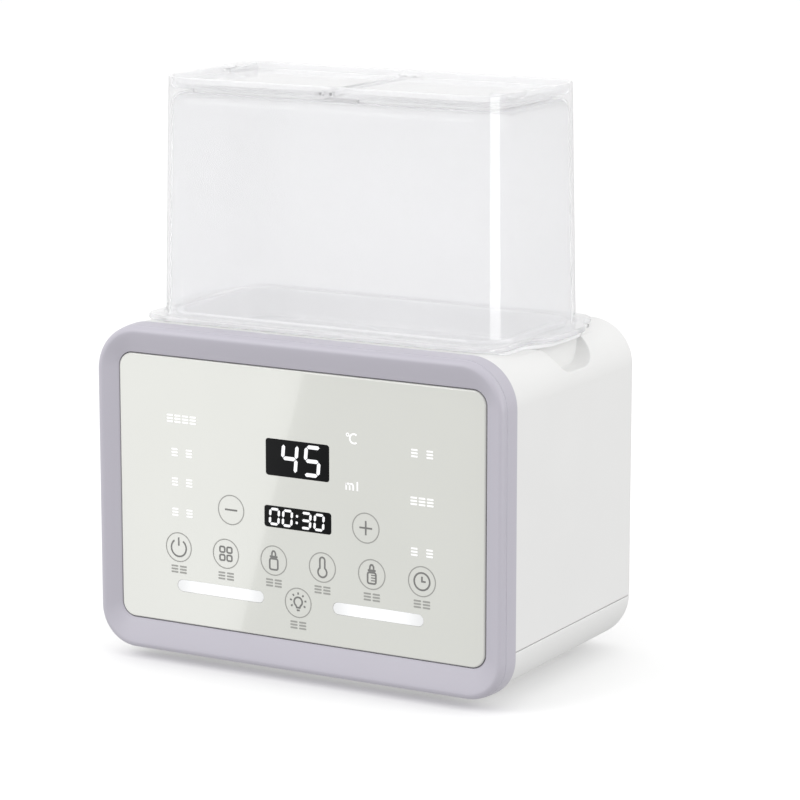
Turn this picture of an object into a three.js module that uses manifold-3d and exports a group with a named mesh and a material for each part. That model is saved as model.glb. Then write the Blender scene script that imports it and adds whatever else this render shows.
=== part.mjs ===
// Double bottle warmer and steam steriliser, in millimetres. +Z is up, the control panel
// faces -Y, and the origin is the centre of the footprint, on the surface it stands on.

import * as THREE from 'three';
import { mergeVertices } from 'three/addons/utils/BufferGeometryUtils.js';
import Module from 'manifold-3d';

const wasm = await Module();
wasm.setup();

// ---------- driving dimensions ----------

const WIDTH = 190;
const DEPTH = 120;
const HEIGHT = 240;
const GAP = 0.3;              // clearance kept between pieces that touch
const ARC_STEPS = 5;          // segments in a quarter circle

// front ring and the casing behind it
const RING_BOTTOM = 4;
const RING_TOP = 140.5;
const RING_CORNER = 19.5;
const RING_DEPTH = 10.7;
const TONGUE_LENGTH = 3;      // how far the ring plugs into the casing
const RING_CENTRE_Z = (RING_BOTTOM + RING_TOP) / 2;
const RING_HEIGHT = RING_TOP - RING_BOTTOM;
const FRONT_Y = -DEPTH / 2;
const REAR_Y = DEPTH / 2;
const SEAM_Y = FRONT_Y + RING_DEPTH;
const CASE_INSET = 0.5;         // the casing is this much smaller than the ring all round
const CASE_WIDTH = WIDTH - 2 * CASE_INSET;
const CASE_HEIGHT = RING_HEIGHT - 2 * CASE_INSET;
const CASE_CORNER = RING_CORNER - CASE_INSET;
const CASE_TOP = RING_TOP - CASE_INSET;
const CASE_BOTTOM = RING_BOTTOM + CASE_INSET;
const CASE_WALL = 2.5;
const REAR_FILLET = 9;
const BASE_SEAM_Z = 23.5;

// control panel
const PANEL_WIDTH = 170;
const PANEL_HEIGHT = 111;
const PANEL_CORNER = 6;
const PANEL_Z = 72.75;
const PANEL_FRONT_Y = FRONT_Y + 2.8;
const PANEL_THICKNESS = 1.8;
const PANEL_BACK_Y = PANEL_FRONT_Y + PANEL_THICKNESS;

// well for the basket, centred a little ahead of the casing's middle
const WELL_Y = 0.5;
const FLANGE_WIDTH = 164.4;
const FLANGE_DEPTH = 87;
const FLANGE_CORNER = 10;
const FLANGE_SWELL = 5.5;     // how far its lift tabs stand out of its sides
const FLANGE_THICKNESS = 2.1;
const FLANGE_TOP = CASE_TOP - 0.2;
const LEDGE_Z = FLANGE_TOP - FLANGE_THICKNESS - GAP;
const LEDGE_BOTTOM = 135;
const LEDGE_WIDTH = 178;
const LEDGE_DEPTH = 92.2;
const LEDGE_CORNER = 16;
const TANK_WIDTH = 154.4;
const TANK_DEPTH = 74;
const TANK_CORNER = 17;
const TANK_WALL = 1.6;
const TANK_FLOOR = 62;
const TANK_TOP = 133.6;
const TANK_RIM_WIDTH = 161;
const TANK_RIM_DEPTH = 79.4;
const TANK_DRAFT = 6;         // how much narrower the tank is at its floor

// finger grips in both shoulders
const GRIP_Y = 6;
const GRIP_FLAT = 9.5;        // half the length of the tab's straight edge
const GRIP_BLEND = 18;        // length of the curve back into the flange
const SCOOP_FLOOR = 127.3;
const SCOOP_INNER_X = 83;
const SCOOP_HALF_FLOOR = 12;
const SCOOP_HALF_TOP = 22;
const SCOOP_BEND = 6;         // length of the curve between the floor and either end
const SCOOP_WALL = 2;

// steam lid
const LID_FLANGE_WIDTH = 166.2;
const LID_FLANGE_DEPTH = 91;
const LID_FLANGE_CORNER = 11;
const LID_FLANGE_SWELL = 7.2;
const LID_FLANGE_BOTTOM = CASE_TOP + 0.1;
const LID_FLANGE_TOP = LID_FLANGE_BOTTOM + 2.2;
const LID_BOTTOM_WIDTH = 162.4;
const LID_BOTTOM_DEPTH = 78.1;
const LID_TOP_WIDTH = 158;
const LID_TOP_DEPTH = 73.8;
const LID_CORNER = 15;
const LID_WALL = 1.8;
const LID_RIM_TOP = HEIGHT - 0.6;
const DECK_TOP = 234.6;
const DECK_THICKNESS = 1.8;
const MOUTH_X = 39;
const MOUTH_WIDTH = 62;
const MOUTH_DEPTH = 58;
const MOUTH_CORNER = 10;

// flip flaps in the top of the lid
const FLAP_AXIS_X = 2.4;
const FLAP_AXIS_Z = 236.2;
const FLAP_BARREL = 1.2;
const FLAP_BOTTOM = 235;
const FLAP_TOP = 236.8;
const FLAP_PIN = 0.8;
const FLAP_REACH = 76.1;      // from the lid's middle to the flap's free edge
const FLAP_HALF_DEPTH = 34.1;
const FLAP_CORNER = 11.5;
const BARREL_HALF = 32.4;     // half the length of a flap's barrel
const LUG_INNER = 32.8;       // the hinge lugs' near and far faces, from the well's middle
const LUG_OUTER = 35.8;
const LUG_HALF_WIDTH = 5;
const LUG_TOP = 238.4;
const TAB_OFFSET = 20;        // the lift tab's distance from the lid's middle
const TAB_WIDTH = 15;
const TAB_BOTTOM = 237.4;
const TAB_INNER_X = 69;
const TAB_OUTER_X = 78.8;

// control board behind the panel
const BOARD_FRONT_Y = -46.8;
const BOARD_THICKNESS = 1.6;
const BOARD_BACK_Y = BOARD_FRONT_Y + BOARD_THICKNESS;
const BOARD_Z = 69;
const CARRIER_BACK_Y = BOARD_BACK_Y + 2.6;
const CARRIER_SCREW_X = 84;

// feet and screws under the base
const VENT_PITCH = 9;
const FOOT_X = 52;
const FOOT_Y = [-28, 40];
const FOOT_RADIUS = 8;
const BASE_SCREW_X = 68;
const BASE_SCREW_Y = [-30, 34];
const COLUMN_BOTTOM = 24.5;   // the screw columns inside the housing
const COLUMN_TOP = 44;
const TANK_SCREW_X = 60;
const TANK_SCREW_Y = 43.1;    // from the well's middle
const BOARD_POST_X = 46;
const BOARD_POST_Y = [-16, 28];

// touch keys: a row of six, the night light's key below it, and minus and plus above
const KEY_PITCH = 22.8;
const KEY_ROW_Z = 49.3;
const KEY_ROW = ['power', 'function', 'bottle_type', 'temperature', 'volume', 'timer'];
const NIGHT_KEY_Z = 33.2;
const STEP_KEY_X = 31.5;
const STEP_KEY_Z = 67.9;

// ---------- solids ----------

function toSolid(geometry) {
  const bare = geometry.clone();
  bare.deleteAttribute('normal');
  bare.deleteAttribute('uv');
  const merged = mergeVertices(bare, 1e-4);
  return new wasm.Manifold(new wasm.Mesh({
    numProp: 3,
    vertProperties: new Float32Array(merged.attributes.position.array),
    triVerts: new Uint32Array(merged.index.array),
  }));
}

function toGeometry(solid) {
  const mesh = solid.getMesh();
  const geometry = new THREE.BufferGeometry();
  geometry.setAttribute('position', new THREE.BufferAttribute(mesh.vertProperties, 3));
  geometry.setIndex(new THREE.BufferAttribute(mesh.triVerts, 1));
  geometry.computeVertexNormals();
  return geometry;
}

// Two limits in rising order, for parts mirrored about the middle.
const ordered = (a, b) => [Math.min(a, b), Math.max(a, b)];

const join = (...solids) => solids.reduce((whole, next) => whole.add(next));
const cut = (body, ...tools) => tools.reduce((rest, tool) => rest.subtract(tool), body);

// Points of a rounded rectangle, anticlockwise from the lower end of its right side.
function roundedRect(width, height, radius, steps = ARC_STEPS) {
  const points = [];
  const corners = [[1, -1, -90], [1, 1, 0], [-1, 1, 90], [-1, -1, 180]];
  for (const [sideX, sideY, startDegrees] of corners) {
    const centreX = sideX * (width / 2 - radius);
    const centreY = sideY * (height / 2 - radius);
    for (let i = 0; i <= steps; i += 1) {
      const angle = THREE.MathUtils.degToRad(startDegrees + (90 * i) / steps);
      points.push(new THREE.Vector2(
        centreX + radius * Math.cos(angle),
        centreY + radius * Math.sin(angle),
      ));
    }
  }
  return points;
}

// Outline of a flange whose two short sides swell into lift tabs.
function grippedRect(width, depth, radius, swell) {
  const sideSteps = 12;
  const points = [];
  const corners = roundedRect(width, depth, radius);
  const tabEdge = (side, from, to) => {
    for (let i = 1; i < sideSteps; i += 1) {
      const y = THREE.MathUtils.lerp(from, to, i / sideSteps);
      const reach = (Math.abs(y + WELL_Y - GRIP_Y) - GRIP_FLAT) / GRIP_BLEND;
      const blend = THREE.MathUtils.clamp(reach, 0, 1);
      const grow = (swell * (1 + Math.cos(Math.PI * blend))) / 2;
      points.push(new THREE.Vector2(side * (width / 2 + grow), y));
    }
  };
  const straight = depth / 2 - radius;
  const perCorner = ARC_STEPS + 1;
  points.push(...corners.slice(0, perCorner));
  tabEdge(1, -straight, straight);
  points.push(...corners.slice(perCorner, 3 * perCorner));
  tabEdge(-1, straight, -straight);
  points.push(...corners.slice(3 * perCorner));
  return points;
}

// Prism standing on the XY plane, from z0 to z1.
function slab(points, z0, z1, x = 0, y = WELL_Y) {
  const shape = new THREE.Shape(points);
  const geometry = new THREE.ExtrudeGeometry(shape, { depth: z1 - z0, bevelEnabled: false });
  return toSolid(geometry.translate(x, y, z0));
}

// Prism lying along Y, from y0 back to y1; its outline is drawn in X and Z.
function frontSlab(points, y0, y1, x = 0, z = 0) {
  const shape = new THREE.Shape(points);
  const geometry = new THREE.ExtrudeGeometry(shape, { depth: y1 - y0, bevelEnabled: false });
  return toSolid(geometry.rotateX(Math.PI / 2).translate(x, y1, z));
}

// Prism lying along X, from x0 to x1; its outline is drawn in Y and Z.
function sideSlab(shape, x0, x1) {
  const geometry = new THREE.ExtrudeGeometry(shape, {
    depth: x1 - x0, bevelEnabled: false, curveSegments: ARC_STEPS,
  });
  const turn = new THREE.Matrix4().makeBasis(
    new THREE.Vector3(0, 1, 0),
    new THREE.Vector3(0, 0, 1),
    new THREE.Vector3(1, 0, 0),
  );
  return toSolid(geometry.applyMatrix4(turn).translate(x0, 0, 0));
}

function box(x0, x1, y0, y1, z0, z1) {
  const geometry = new THREE.BoxGeometry(x1 - x0, y1 - y0, z1 - z0);
  return toSolid(geometry.translate((x0 + x1) / 2, (y0 + y1) / 2, (z0 + z1) / 2));
}

// Upright cylinder from z0 to z1.
function post(radius, z0, z1, x, y, sides = 16) {
  const geometry = new THREE.CylinderGeometry(radius, radius, z1 - z0, sides);
  return toSolid(geometry.rotateX(Math.PI / 2).translate(x, y, (z0 + z1) / 2));
}

// Cylinder along Y from y0 to y1.
function rod(radius, y0, y1, x, z, sides = 16) {
  const geometry = new THREE.CylinderGeometry(radius, radius, y1 - y0, sides);
  return toSolid(geometry.translate(x, (y0 + y1) / 2, z));
}

// Skin over a run of outlines that all have the same number of points. An open run is
// closed with flat ends; a closed run joins its last outline to its first, as a ring.
function loft(outlines, ring = false) {
  const count = outlines[0].length;
  const positions = outlines.flat().flatMap((point) => point.toArray());
  const indices = [];
  const spans = ring ? outlines.length : outlines.length - 1;
  for (let row = 0; row < spans; row += 1) {
    const here = row * count;
    const there = ((row + 1) % outlines.length) * count;
    for (let i = 0; i < count; i += 1) {
      const next = (i + 1) % count;
      indices.push(here + i, there + i, there + next, here + i, there + next, here + next);
    }
  }
  if (!ring) {
    const last = (outlines.length - 1) * count;
    for (let i = 1; i < count - 1; i += 1) {
      indices.push(0, i, i + 1, last, last + i + 1, last + i);
    }
  }
  const geometry = new THREE.BufferGeometry();
  geometry.setAttribute('position', new THREE.Float32BufferAttribute(positions, 3));
  geometry.setIndex(indices);
  const solid = toSolid(geometry);
  if (solid.volume() > 0) return solid;
  geometry.setIndex(indices.reverse());
  return toSolid(geometry);
}

// Rounded rectangle facing the front, at depth y.
function frontOutline(width, height, radius, y, z = RING_CENTRE_Z) {
  return roundedRect(width, height, radius).map((p) => new THREE.Vector3(p.x, y, p.y + z));
}

// Rounded rectangle lying level, at height z.
function levelOutline(width, depth, radius, z) {
  return roundedRect(width, depth, radius).map((p) => new THREE.Vector3(p.x, p.y + WELL_Y, z));
}

// Upright tapered block between two level rounded rectangles.
function taperedBlock(low, high) {
  return loft([high, low]);
}

// The casing's outside, or its inside when inset by the wall, with rounded rear edges.
function casingBody(inset, frontY) {
  const width = CASE_WIDTH - 2 * inset;
  const height = CASE_HEIGHT - 2 * inset;
  const corner = CASE_CORNER - inset;
  const fillet = REAR_FILLET - inset;
  const rear = REAR_Y - inset;
  const outlines = [frontOutline(width, height, corner, frontY)];
  for (let i = 0; i <= ARC_STEPS; i += 1) {
    const angle = (Math.PI / 2) * (i / ARC_STEPS);
    const pull = fillet * (1 - Math.cos(angle));
    const y = rear - fillet + fillet * Math.sin(angle);
    outlines.push(frontOutline(width - 2 * pull, height - 2 * pull, corner - pull, y));
  }
  return loft(outlines);
}

// Side view of a finger scoop: a flat floor with flared, rounded ends.
function scoopShape(grow) {
  const floor = SCOOP_FLOOR - grow;
  const top = CASE_TOP + 5;
  const halfFloor = SCOOP_HALF_FLOOR + grow;
  const halfTop = SCOOP_HALF_TOP + grow;
  const bend = SCOOP_BEND;
  const slope = (halfTop - halfFloor) / (top - floor);
  const shape = new THREE.Shape();
  shape.moveTo(GRIP_Y - halfTop, top);
  shape.lineTo(GRIP_Y - halfFloor - slope * bend, floor + bend);
  shape.quadraticCurveTo(GRIP_Y - halfFloor, floor, GRIP_Y - halfFloor + bend, floor);
  const rear = GRIP_Y + halfFloor;
  shape.lineTo(rear - bend, floor);
  shape.quadraticCurveTo(rear, floor, rear + slope * bend, floor + bend);
  shape.lineTo(GRIP_Y + halfTop, top);
  return shape;
}

// ---------- casing ----------

function housingShell() {
  const outside = casingBody(0, SEAM_Y);
  const inside = casingBody(CASE_WALL, SEAM_Y - 5);
  const ledge = slab(roundedRect(LEDGE_WIDTH, LEDGE_DEPTH, LEDGE_CORNER), LEDGE_BOTTOM, CASE_TOP);
  const pockets = [-1, 1].map((side) => {
    const span = ordered(side * (SCOOP_INNER_X - SCOOP_WALL), side * WIDTH);
    return sideSlab(scoopShape(SCOOP_WALL), ...span).intersect(outside);
  });
  const scoops = [-1, 1].map((side) => (
    sideSlab(scoopShape(0), ...ordered(side * SCOOP_INNER_X, side * WIDTH))
  ));
  const tankBosses = tankScrewPlaces().map(([x, y]) => (
    cut(post(3, 126.3, LEDGE_BOTTOM + 0.5, x, y, 10), post(1.4, 120, 133, x, y, 8))
  ));
  const flangeSeat = grippedRect(FLANGE_WIDTH + 2 * GAP, FLANGE_DEPTH + 2 * GAP,
    FLANGE_CORNER + GAP, FLANGE_SWELL + 0.4);
  const wellMouth = roundedRect(TANK_WIDTH + 1.2, TANK_DEPTH + 1.2, TANK_CORNER);
  const shell = cut(
    join(cut(outside, inside), ledge.intersect(outside), ...pockets, ...tankBosses),
    slab(flangeSeat, LEDGE_Z, CASE_TOP + 10),
    slab(wellMouth, LEDGE_BOTTOM - 1, CASE_TOP + 10),
    ...scoops,
    box(-WIDTH, WIDTH, -DEPTH, DEPTH, 0, BASE_SEAM_Z),
    frontSlab(roundedRect(21, 13, 5.3, 3), REAR_Y - 10, REAR_Y + 10, INLET_X, INLET_Z),
  );
  return join(shell, ...baseScrewPlaces().map((place) => screwColumn(place).intersect(outside)));
}

// Hollow column that a base screw threads into, with a web to the housing's side.
function screwColumn([x, y]) {
  const span = ordered(x, Math.sign(x) * (CASE_WIDTH / 2 - 1.5));
  const web = box(...span, y - 1.5, y + 1.5, COLUMN_BOTTOM, COLUMN_TOP);
  const column = post(4, COLUMN_BOTTOM, COLUMN_TOP, x, y);
  return cut(join(web, column), post(1.6, COLUMN_BOTTOM - 5, COLUMN_TOP - 6, x, y, 8));
}

function baseScrewPlaces() {
  return [-1, 1].flatMap((side) => BASE_SCREW_Y.map((y) => [side * BASE_SCREW_X, y]));
}

function tankScrewPlaces() {
  return [-1, 1].flatMap((side) => (
    [-1, 1].map((end) => [side * TANK_SCREW_X, WELL_Y + end * TANK_SCREW_Y])
  ));
}

function footPlaces() {
  return [-1, 1].flatMap((side) => FOOT_Y.map((y) => [side * FOOT_X, y]));
}

function boardPostPlaces() {
  return [-1, 1].flatMap((side) => BOARD_POST_Y.map((y) => [side * BOARD_POST_X, y]));
}

function baseCover() {
  const outside = casingBody(0, SEAM_Y);
  const inside = casingBody(CASE_WALL, SEAM_Y - 5);
  const lipWall = 1.6;
  const lipFront = SEAM_Y + 6;
  const lipInside = casingBody(CASE_WALL + GAP + lipWall, SEAM_Y - 5);
  const below = (z) => box(-WIDTH, WIDTH, -DEPTH, DEPTH, 0, z);
  const above = (z) => box(-WIDTH, WIDTH, -DEPTH, DEPTH, z, HEIGHT);
  const skin = cut(outside, inside, above(BASE_SEAM_Z - GAP));
  const lip = cut(casingBody(CASE_WALL + GAP, lipFront), lipInside,
    below(BASE_SEAM_Z - 6), above(BASE_SEAM_Z + 3));
  const lipRoot = cut(casingBody(1, lipFront), lipInside,
    below(BASE_SEAM_Z - 6), above(BASE_SEAM_Z - 2));
  const floor = CASE_BOTTOM + CASE_WALL - 0.5;
  const posts = boardPostPlaces().map(([x, y]) => post(3.4, floor, POWER_BOARD_BOTTOM - GAP, x, y, 12));
  const postHoles = boardPostPlaces().map(([x, y]) => post(1.3, 12, 30, x, y, 8));
  const screwTubes = baseScrewPlaces().map(([x, y]) => (
    post(5.4, floor - 0.5, COLUMN_BOTTOM - 0.4, x, y)
  ));
  const screwHoles = baseScrewPlaces().flatMap(([x, y]) => [
    post(4, 0, 12, x, y),
    post(2, 0, 30, x, y, 8),
  ]);
  const footHoles = footPlaces().map(([x, y]) => post(3.1, 0, 14, x, y, 12));
  const vents = [-2, -1, 0, 1, 2].map((i) => (
    slab(roundedRect(3.2, 26, 1.5, 1), 0, 14, i * VENT_PITCH, 8)
  ));
  return cut(join(skin, lip, lipRoot, ...posts, ...screwTubes), ...postHoles, ...screwHoles,
    ...footHoles, ...vents, ...lipClearance());
}

// Room in the base cover's lip for the webs of the housing's screw columns.
function lipClearance() {
  return baseScrewPlaces().map(([x, y]) => {
    const span = ordered(x + Math.sign(x) * 6, Math.sign(x) * (CASE_WIDTH / 2 - 1));
    return box(...span, y - 2.2, y + 2.2, BASE_SEAM_Z, COLUMN_TOP);
  });
}

function foot(x, y) {
  const seat = CASE_BOTTOM - GAP;
  const barb = CASE_BOTTOM + CASE_WALL + GAP;
  const profile = [[0, 0], [FOOT_RADIUS - 1, 0], [FOOT_RADIUS, 1], [FOOT_RADIUS, seat - 1.3],
    [FOOT_RADIUS - 1.3, seat], [2.8, seat], [2.8, barb], [3.9, barb + 0.5], [2.2, barb + 2.7],
    [0, barb + 2.7]];
  return lathe(profile, x, y);
}

// Solid of revolution about an upright axis, from radius and height pairs.
function lathe(profile, x, y, sides = 14) {
  const points = profile.map(([radius, z]) => new THREE.Vector2(radius, z));
  const geometry = new THREE.LatheGeometry(points, sides);
  return toSolid(geometry.rotateX(Math.PI / 2).translate(x, y, 0));
}

function frontBezel() {
  const w = WIDTH;
  const h = RING_HEIGHT;
  const lipWidth = PANEL_WIDTH + 0.9;
  const lipHeight = PANEL_HEIGHT + 0.9;
  const tongue = [CASE_WIDTH - 2 * (CASE_WALL + GAP), CASE_HEIGHT - 2 * (CASE_WALL + GAP)];
  const tongueCorner = CASE_CORNER - CASE_WALL - GAP;
  const shelf = PANEL_BACK_Y + GAP;
  const ring = loft([
    frontOutline(w, h, RING_CORNER, SEAM_Y - GAP),
    frontOutline(w, h, RING_CORNER, FRONT_Y + 3.4),
    frontOutline(w - 1.2, h - 1.2, RING_CORNER - 0.6, FRONT_Y + 1.3),
    frontOutline(w - 4, h - 4, RING_CORNER - 2, FRONT_Y + 0.2),
    frontOutline(w - 6, h - 6, RING_CORNER - 3, FRONT_Y),
    frontOutline(w - 8.5, h - 8.5, RING_CORNER - 4.2, FRONT_Y + 0.3),
    frontOutline(lipWidth, lipHeight, PANEL_CORNER + 0.4, PANEL_FRONT_Y - 0.3, PANEL_Z),
    frontOutline(lipWidth, lipHeight, PANEL_CORNER + 0.4, shelf, PANEL_Z),
    frontOutline(PANEL_WIDTH - 6, PANEL_HEIGHT - 6, 5, shelf, PANEL_Z),
    frontOutline(PANEL_WIDTH - 6, PANEL_HEIGHT - 6, 5, shelf + 2, PANEL_Z),
    frontOutline(tongue[0] - 4, tongue[1] - 4, tongueCorner - 2, SEAM_Y),
    frontOutline(tongue[0] - 4, tongue[1] - 4, tongueCorner - 2, SEAM_Y + TONGUE_LENGTH),
    frontOutline(tongue[0], tongue[1], tongueCorner, SEAM_Y + TONGUE_LENGTH),
    frontOutline(tongue[0], tongue[1], tongueCorner, SEAM_Y - GAP),
  ], true);
  const bosses = carrierScrewPlaces().map(([x, z]) => cut(
    rod(3.4, shelf + 1, BOARD_BACK_Y + 0.3, x, z, 12),
    rod(1.3, shelf + 4, BOARD_BACK_Y + 2, x, z, 8),
  ));
  return join(ring, ...bosses);
}

function carrierScrewPlaces() {
  return [-1, 1].map((side) => [side * CARRIER_SCREW_X, PANEL_Z]);
}

// ---------- panel and displays ----------

const TEMPERATURE_WINDOW = { x: 0, z: 92.1, width: 29.5, height: 15 };
const TIMER_WINDOW = { x: 0, z: 67.6, width: 31.2, height: 8.8 };
const WINDOW_CORNER = 1.2;
const LIGHT_BAR_X = 37;
const LIGHT_BAR_Z = 33.3;
const LIGHT_BAR_LENGTH = 41.5;
const LIGHT_BAR_HEIGHT = 5;

function windowOutline(window, grow = 0) {
  const { width, height } = window;
  return roundedRect(width + 2 * grow, height + 2 * grow, WINDOW_CORNER + grow, 2);
}

function lightBarOutline(grow = 0) {
  const height = LIGHT_BAR_HEIGHT + 2 * grow;
  return roundedRect(LIGHT_BAR_LENGTH + 2 * grow, height, height / 2 - 0.01, 3);
}

function controlPanel() {
  const sheet = frontSlab(roundedRect(PANEL_WIDTH, PANEL_HEIGHT, PANEL_CORNER),
    PANEL_FRONT_Y, PANEL_BACK_Y, 0, PANEL_Z);
  const openings = [TEMPERATURE_WINDOW, TIMER_WINDOW].map((window) => (
    frontSlab(windowOutline(window, GAP), -70, -50, window.x, window.z)
  ));
  const slots = [-1, 1].map((side) => (
    frontSlab(lightBarOutline(GAP), -70, -50, side * LIGHT_BAR_X, LIGHT_BAR_Z)
  ));
  return cut(sheet, ...openings, ...slots);
}

function displayWindow(window) {
  return frontSlab(windowOutline(window), PANEL_FRONT_Y, PANEL_BACK_Y, window.x, window.z);
}

function ledModule(window) {
  const outline = roundedRect(window.width + 4, window.height + 4, 1, 2);
  return frontSlab(outline, PANEL_BACK_Y + GAP, BOARD_FRONT_Y - GAP, window.x, window.z);
}

// Clear rod with a face in the panel and a wider foot that gathers the light behind it.
function lightBar(x, z) {
  return join(
    frontSlab(lightBarOutline(), PANEL_FRONT_Y, PANEL_BACK_Y + 1, x, z),
    frontSlab(lightBarOutline(1), PANEL_BACK_Y + GAP, PANEL_BACK_Y + 4, x, z),
  );
}

// Strip of small LEDs on its own narrow board, one for each light bar.
function lightStrip(x, z) {
  const board = frontSlab(roundedRect(LIGHT_BAR_LENGTH, 6, 1, 2),
    BOARD_FRONT_Y - 1.5, BOARD_FRONT_Y - GAP, x, z);
  const half = 1.4;
  const leds = [-16, -8, 0, 8, 16].map((step) => (
    box(x + step - half, x + step + half, BOARD_FRONT_Y - 3, BOARD_FRONT_Y - 1.3, z - half, z + half)
  ));
  return join(board, ...leds);
}

function controlBoard() {
  const board = frontSlab(roundedRect(150, 84, 3, 2), BOARD_FRONT_Y, BOARD_BACK_Y, 0, BOARD_Z);
  const chip = box(-8, 8, BOARD_BACK_Y - 0.2, BOARD_BACK_Y + 1.2, 76, 86);
  const socket = box(30, 46, BOARD_BACK_Y - 0.2, BOARD_BACK_Y + 4, 40, 46);
  return join(board, chip, socket);
}

function boardCarrier() {
  const plate = frontSlab(roundedRect(176, 98, 6, 3),
    BOARD_BACK_Y + 2 * GAP, CARRIER_BACK_Y, 0, PANEL_Z);
  const window = frontSlab(roundedRect(132, 66, 6, 3), -60, -30, 0, BOARD_Z);
  const holes = carrierScrewPlaces().map(([x, z]) => rod(1.9, -60, -30, x, z, 8));
  return cut(plate, window, ...holes);
}

// Where each key sits on the panel: X and Z.
function keyPlaces() {
  const row = KEY_ROW.map((key, i) => [key, [(i - 2.5) * KEY_PITCH, KEY_ROW_Z]]);
  return Object.fromEntries([
    ...row,
    ['night_light', [0, NIGHT_KEY_Z]],
    ['minus', [-STEP_KEY_X, STEP_KEY_Z]],
    ['plus', [STEP_KEY_X, STEP_KEY_Z]],
  ]);
}

// Round conductive pad between a key's mark on the panel and the board.
function touchPad([x, z]) {
  const mid = (PANEL_BACK_Y + BOARD_FRONT_Y) / 2;
  return join(
    rod(5, PANEL_BACK_Y + GAP, mid, x, z, 12),
    rod(3.6, mid - 1, BOARD_FRONT_Y - GAP, x, z, 12),
  );
}

function buzzer() {
  return rod(6, BOARD_BACK_Y + GAP, BOARD_BACK_Y + 6, -40, 84, 20);
}

// ---------- water tank and heater ----------

function waterTank() {
  const wall = 2 * TANK_WALL;
  const narrow = TANK_WIDTH - TANK_DRAFT;
  const shallow = TANK_DEPTH - 4;
  const cornerOut = TANK_CORNER + TANK_WALL;
  const outside = taperedBlock(
    levelOutline(narrow + wall, shallow + wall, cornerOut, TANK_FLOOR),
    levelOutline(TANK_WIDTH + wall, TANK_DEPTH + wall, cornerOut, TANK_TOP),
  );
  const inside = taperedBlock(
    levelOutline(narrow, shallow, TANK_CORNER, TANK_FLOOR + TANK_WALL),
    levelOutline(TANK_WIDTH, TANK_DEPTH, TANK_CORNER, TANK_TOP + 1),
  );
  const rim = slab(roundedRect(TANK_RIM_WIDTH, TANK_RIM_DEPTH, TANK_CORNER + 2.7),
    TANK_TOP - 1.8, TANK_TOP);
  const lugs = tankScrewPlaces().map(([x, y]) => {
    const outward = Math.sign(y - WELL_Y);
    const span = ordered(WELL_Y + outward * (TANK_DEPTH / 2 + 0.6), y + outward * 3);
    return cut(box(x - 5, x + 5, ...span, 124, 126), post(1.8, 120, 130, x, y, 8));
  });
  const bosses = clampScrewPlaces().map(([x, y]) => (
    cut(post(3.6, 58.2, TANK_FLOOR + 0.8, x, y, 12), post(1.3, 55, 61.4, x, y, 8))
  ));
  const opening = slab(roundedRect(104, 44, 18), TANK_FLOOR - 1, TANK_FLOOR + 4);
  return cut(join(outside, rim, ...lugs, ...bosses), inside, opening);
}

function clampScrewPlaces() {
  return [-1, 1].map((side) => [side * TANK_SCREW_X, WELL_Y]);
}

function tankGasket() {
  const outer = slab(roundedRect(TANK_RIM_WIDTH - 0.4, TANK_RIM_DEPTH - 0.4, TANK_CORNER + 2.5),
    TANK_TOP + GAP, LEDGE_BOTTOM - GAP);
  return cut(outer, slab(roundedRect(TANK_WIDTH + 1, TANK_DEPTH + 1, TANK_CORNER), 120, 140));
}

const PLATE_SEAL_BOTTOM = TANK_FLOOR + TANK_WALL + GAP;
const PLATE_BOTTOM = PLATE_SEAL_BOTTOM + 1.1;

function plateSeal() {
  const outer = slab(roundedRect(120, 58, 22), PLATE_SEAL_BOTTOM, PLATE_BOTTOM - GAP);
  return cut(outer, slab(roundedRect(106, 46, 18), 60, 70));
}

// Steel plate with a shallow dished middle that the water boils on.
function heatingPlate() {
  const plate = slab(roundedRect(120, 58, 22), PLATE_BOTTOM, PLATE_BOTTOM + 1.8);
  return cut(plate, slab(roundedRect(96, 38, 16), PLATE_BOTTOM + 1, PLATE_BOTTOM + 3));
}

function heaterBlock() {
  const block = slab(roundedRect(96, 36, 14), 59, PLATE_BOTTOM - GAP);
  return cut(block, post(3.1, 50, 70, 0, WELL_Y, 12));
}

function heaterClamp() {
  const strap = slab(roundedRect(134, 18, 6, 3), 56.4, 57.9);
  const holes = clampScrewPlaces().map(([x, y]) => post(1.9, 50, 60, x, y, 8));
  return cut(join(strap, box(-30, 30, WELL_Y - 6, WELL_Y + 6, 57.5, 58.7)), ...holes,
    post(3.1, 50, 70, 0, WELL_Y, 12));
}

function thermistor() {
  return join(
    post(2.6, 50, PLATE_BOTTOM - GAP, 0, WELL_Y, 12),
    post(4.2, 50, 53, 0, WELL_Y, 12),
  );
}

function thermalFuse() {
  return rod(2.3, -9, 13, 22, 53.6, 12);
}

// ---------- power supply ----------

const POWER_BOARD_BOTTOM = 23.9;
const POWER_BOARD_TOP = 25.6;
const RIBBON_X = 38;
const RIBBON_WIDTH = 14;
const RIBBON_THICKNESS = 0.8;

function powerBoard() {
  const board = slab(roundedRect(104, 62, 3, 2), POWER_BOARD_BOTTOM, POWER_BOARD_TOP, 0, 6);
  const holes = boardPostPlaces().map(([x, y]) => post(1.8, 20, 30, x, y, 8));
  const terminals = box(-40, -16, 27, 35, POWER_BOARD_TOP - 0.2, 34);
  return cut(join(board, terminals), ...holes);
}

function transformer() {
  const core = box(-38, -14, -14, 8, POWER_BOARD_TOP + GAP, 44);
  const coil = box(-34, -18, -17, 11, POWER_BOARD_TOP + 2, 41);
  return join(core, coil);
}

function relay() {
  return box(8, 27, 10, 20, POWER_BOARD_TOP + GAP, 41);
}

function capacitor() {
  return post(5, POWER_BOARD_TOP + GAP, 43, 6, -10, 16);
}

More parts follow.
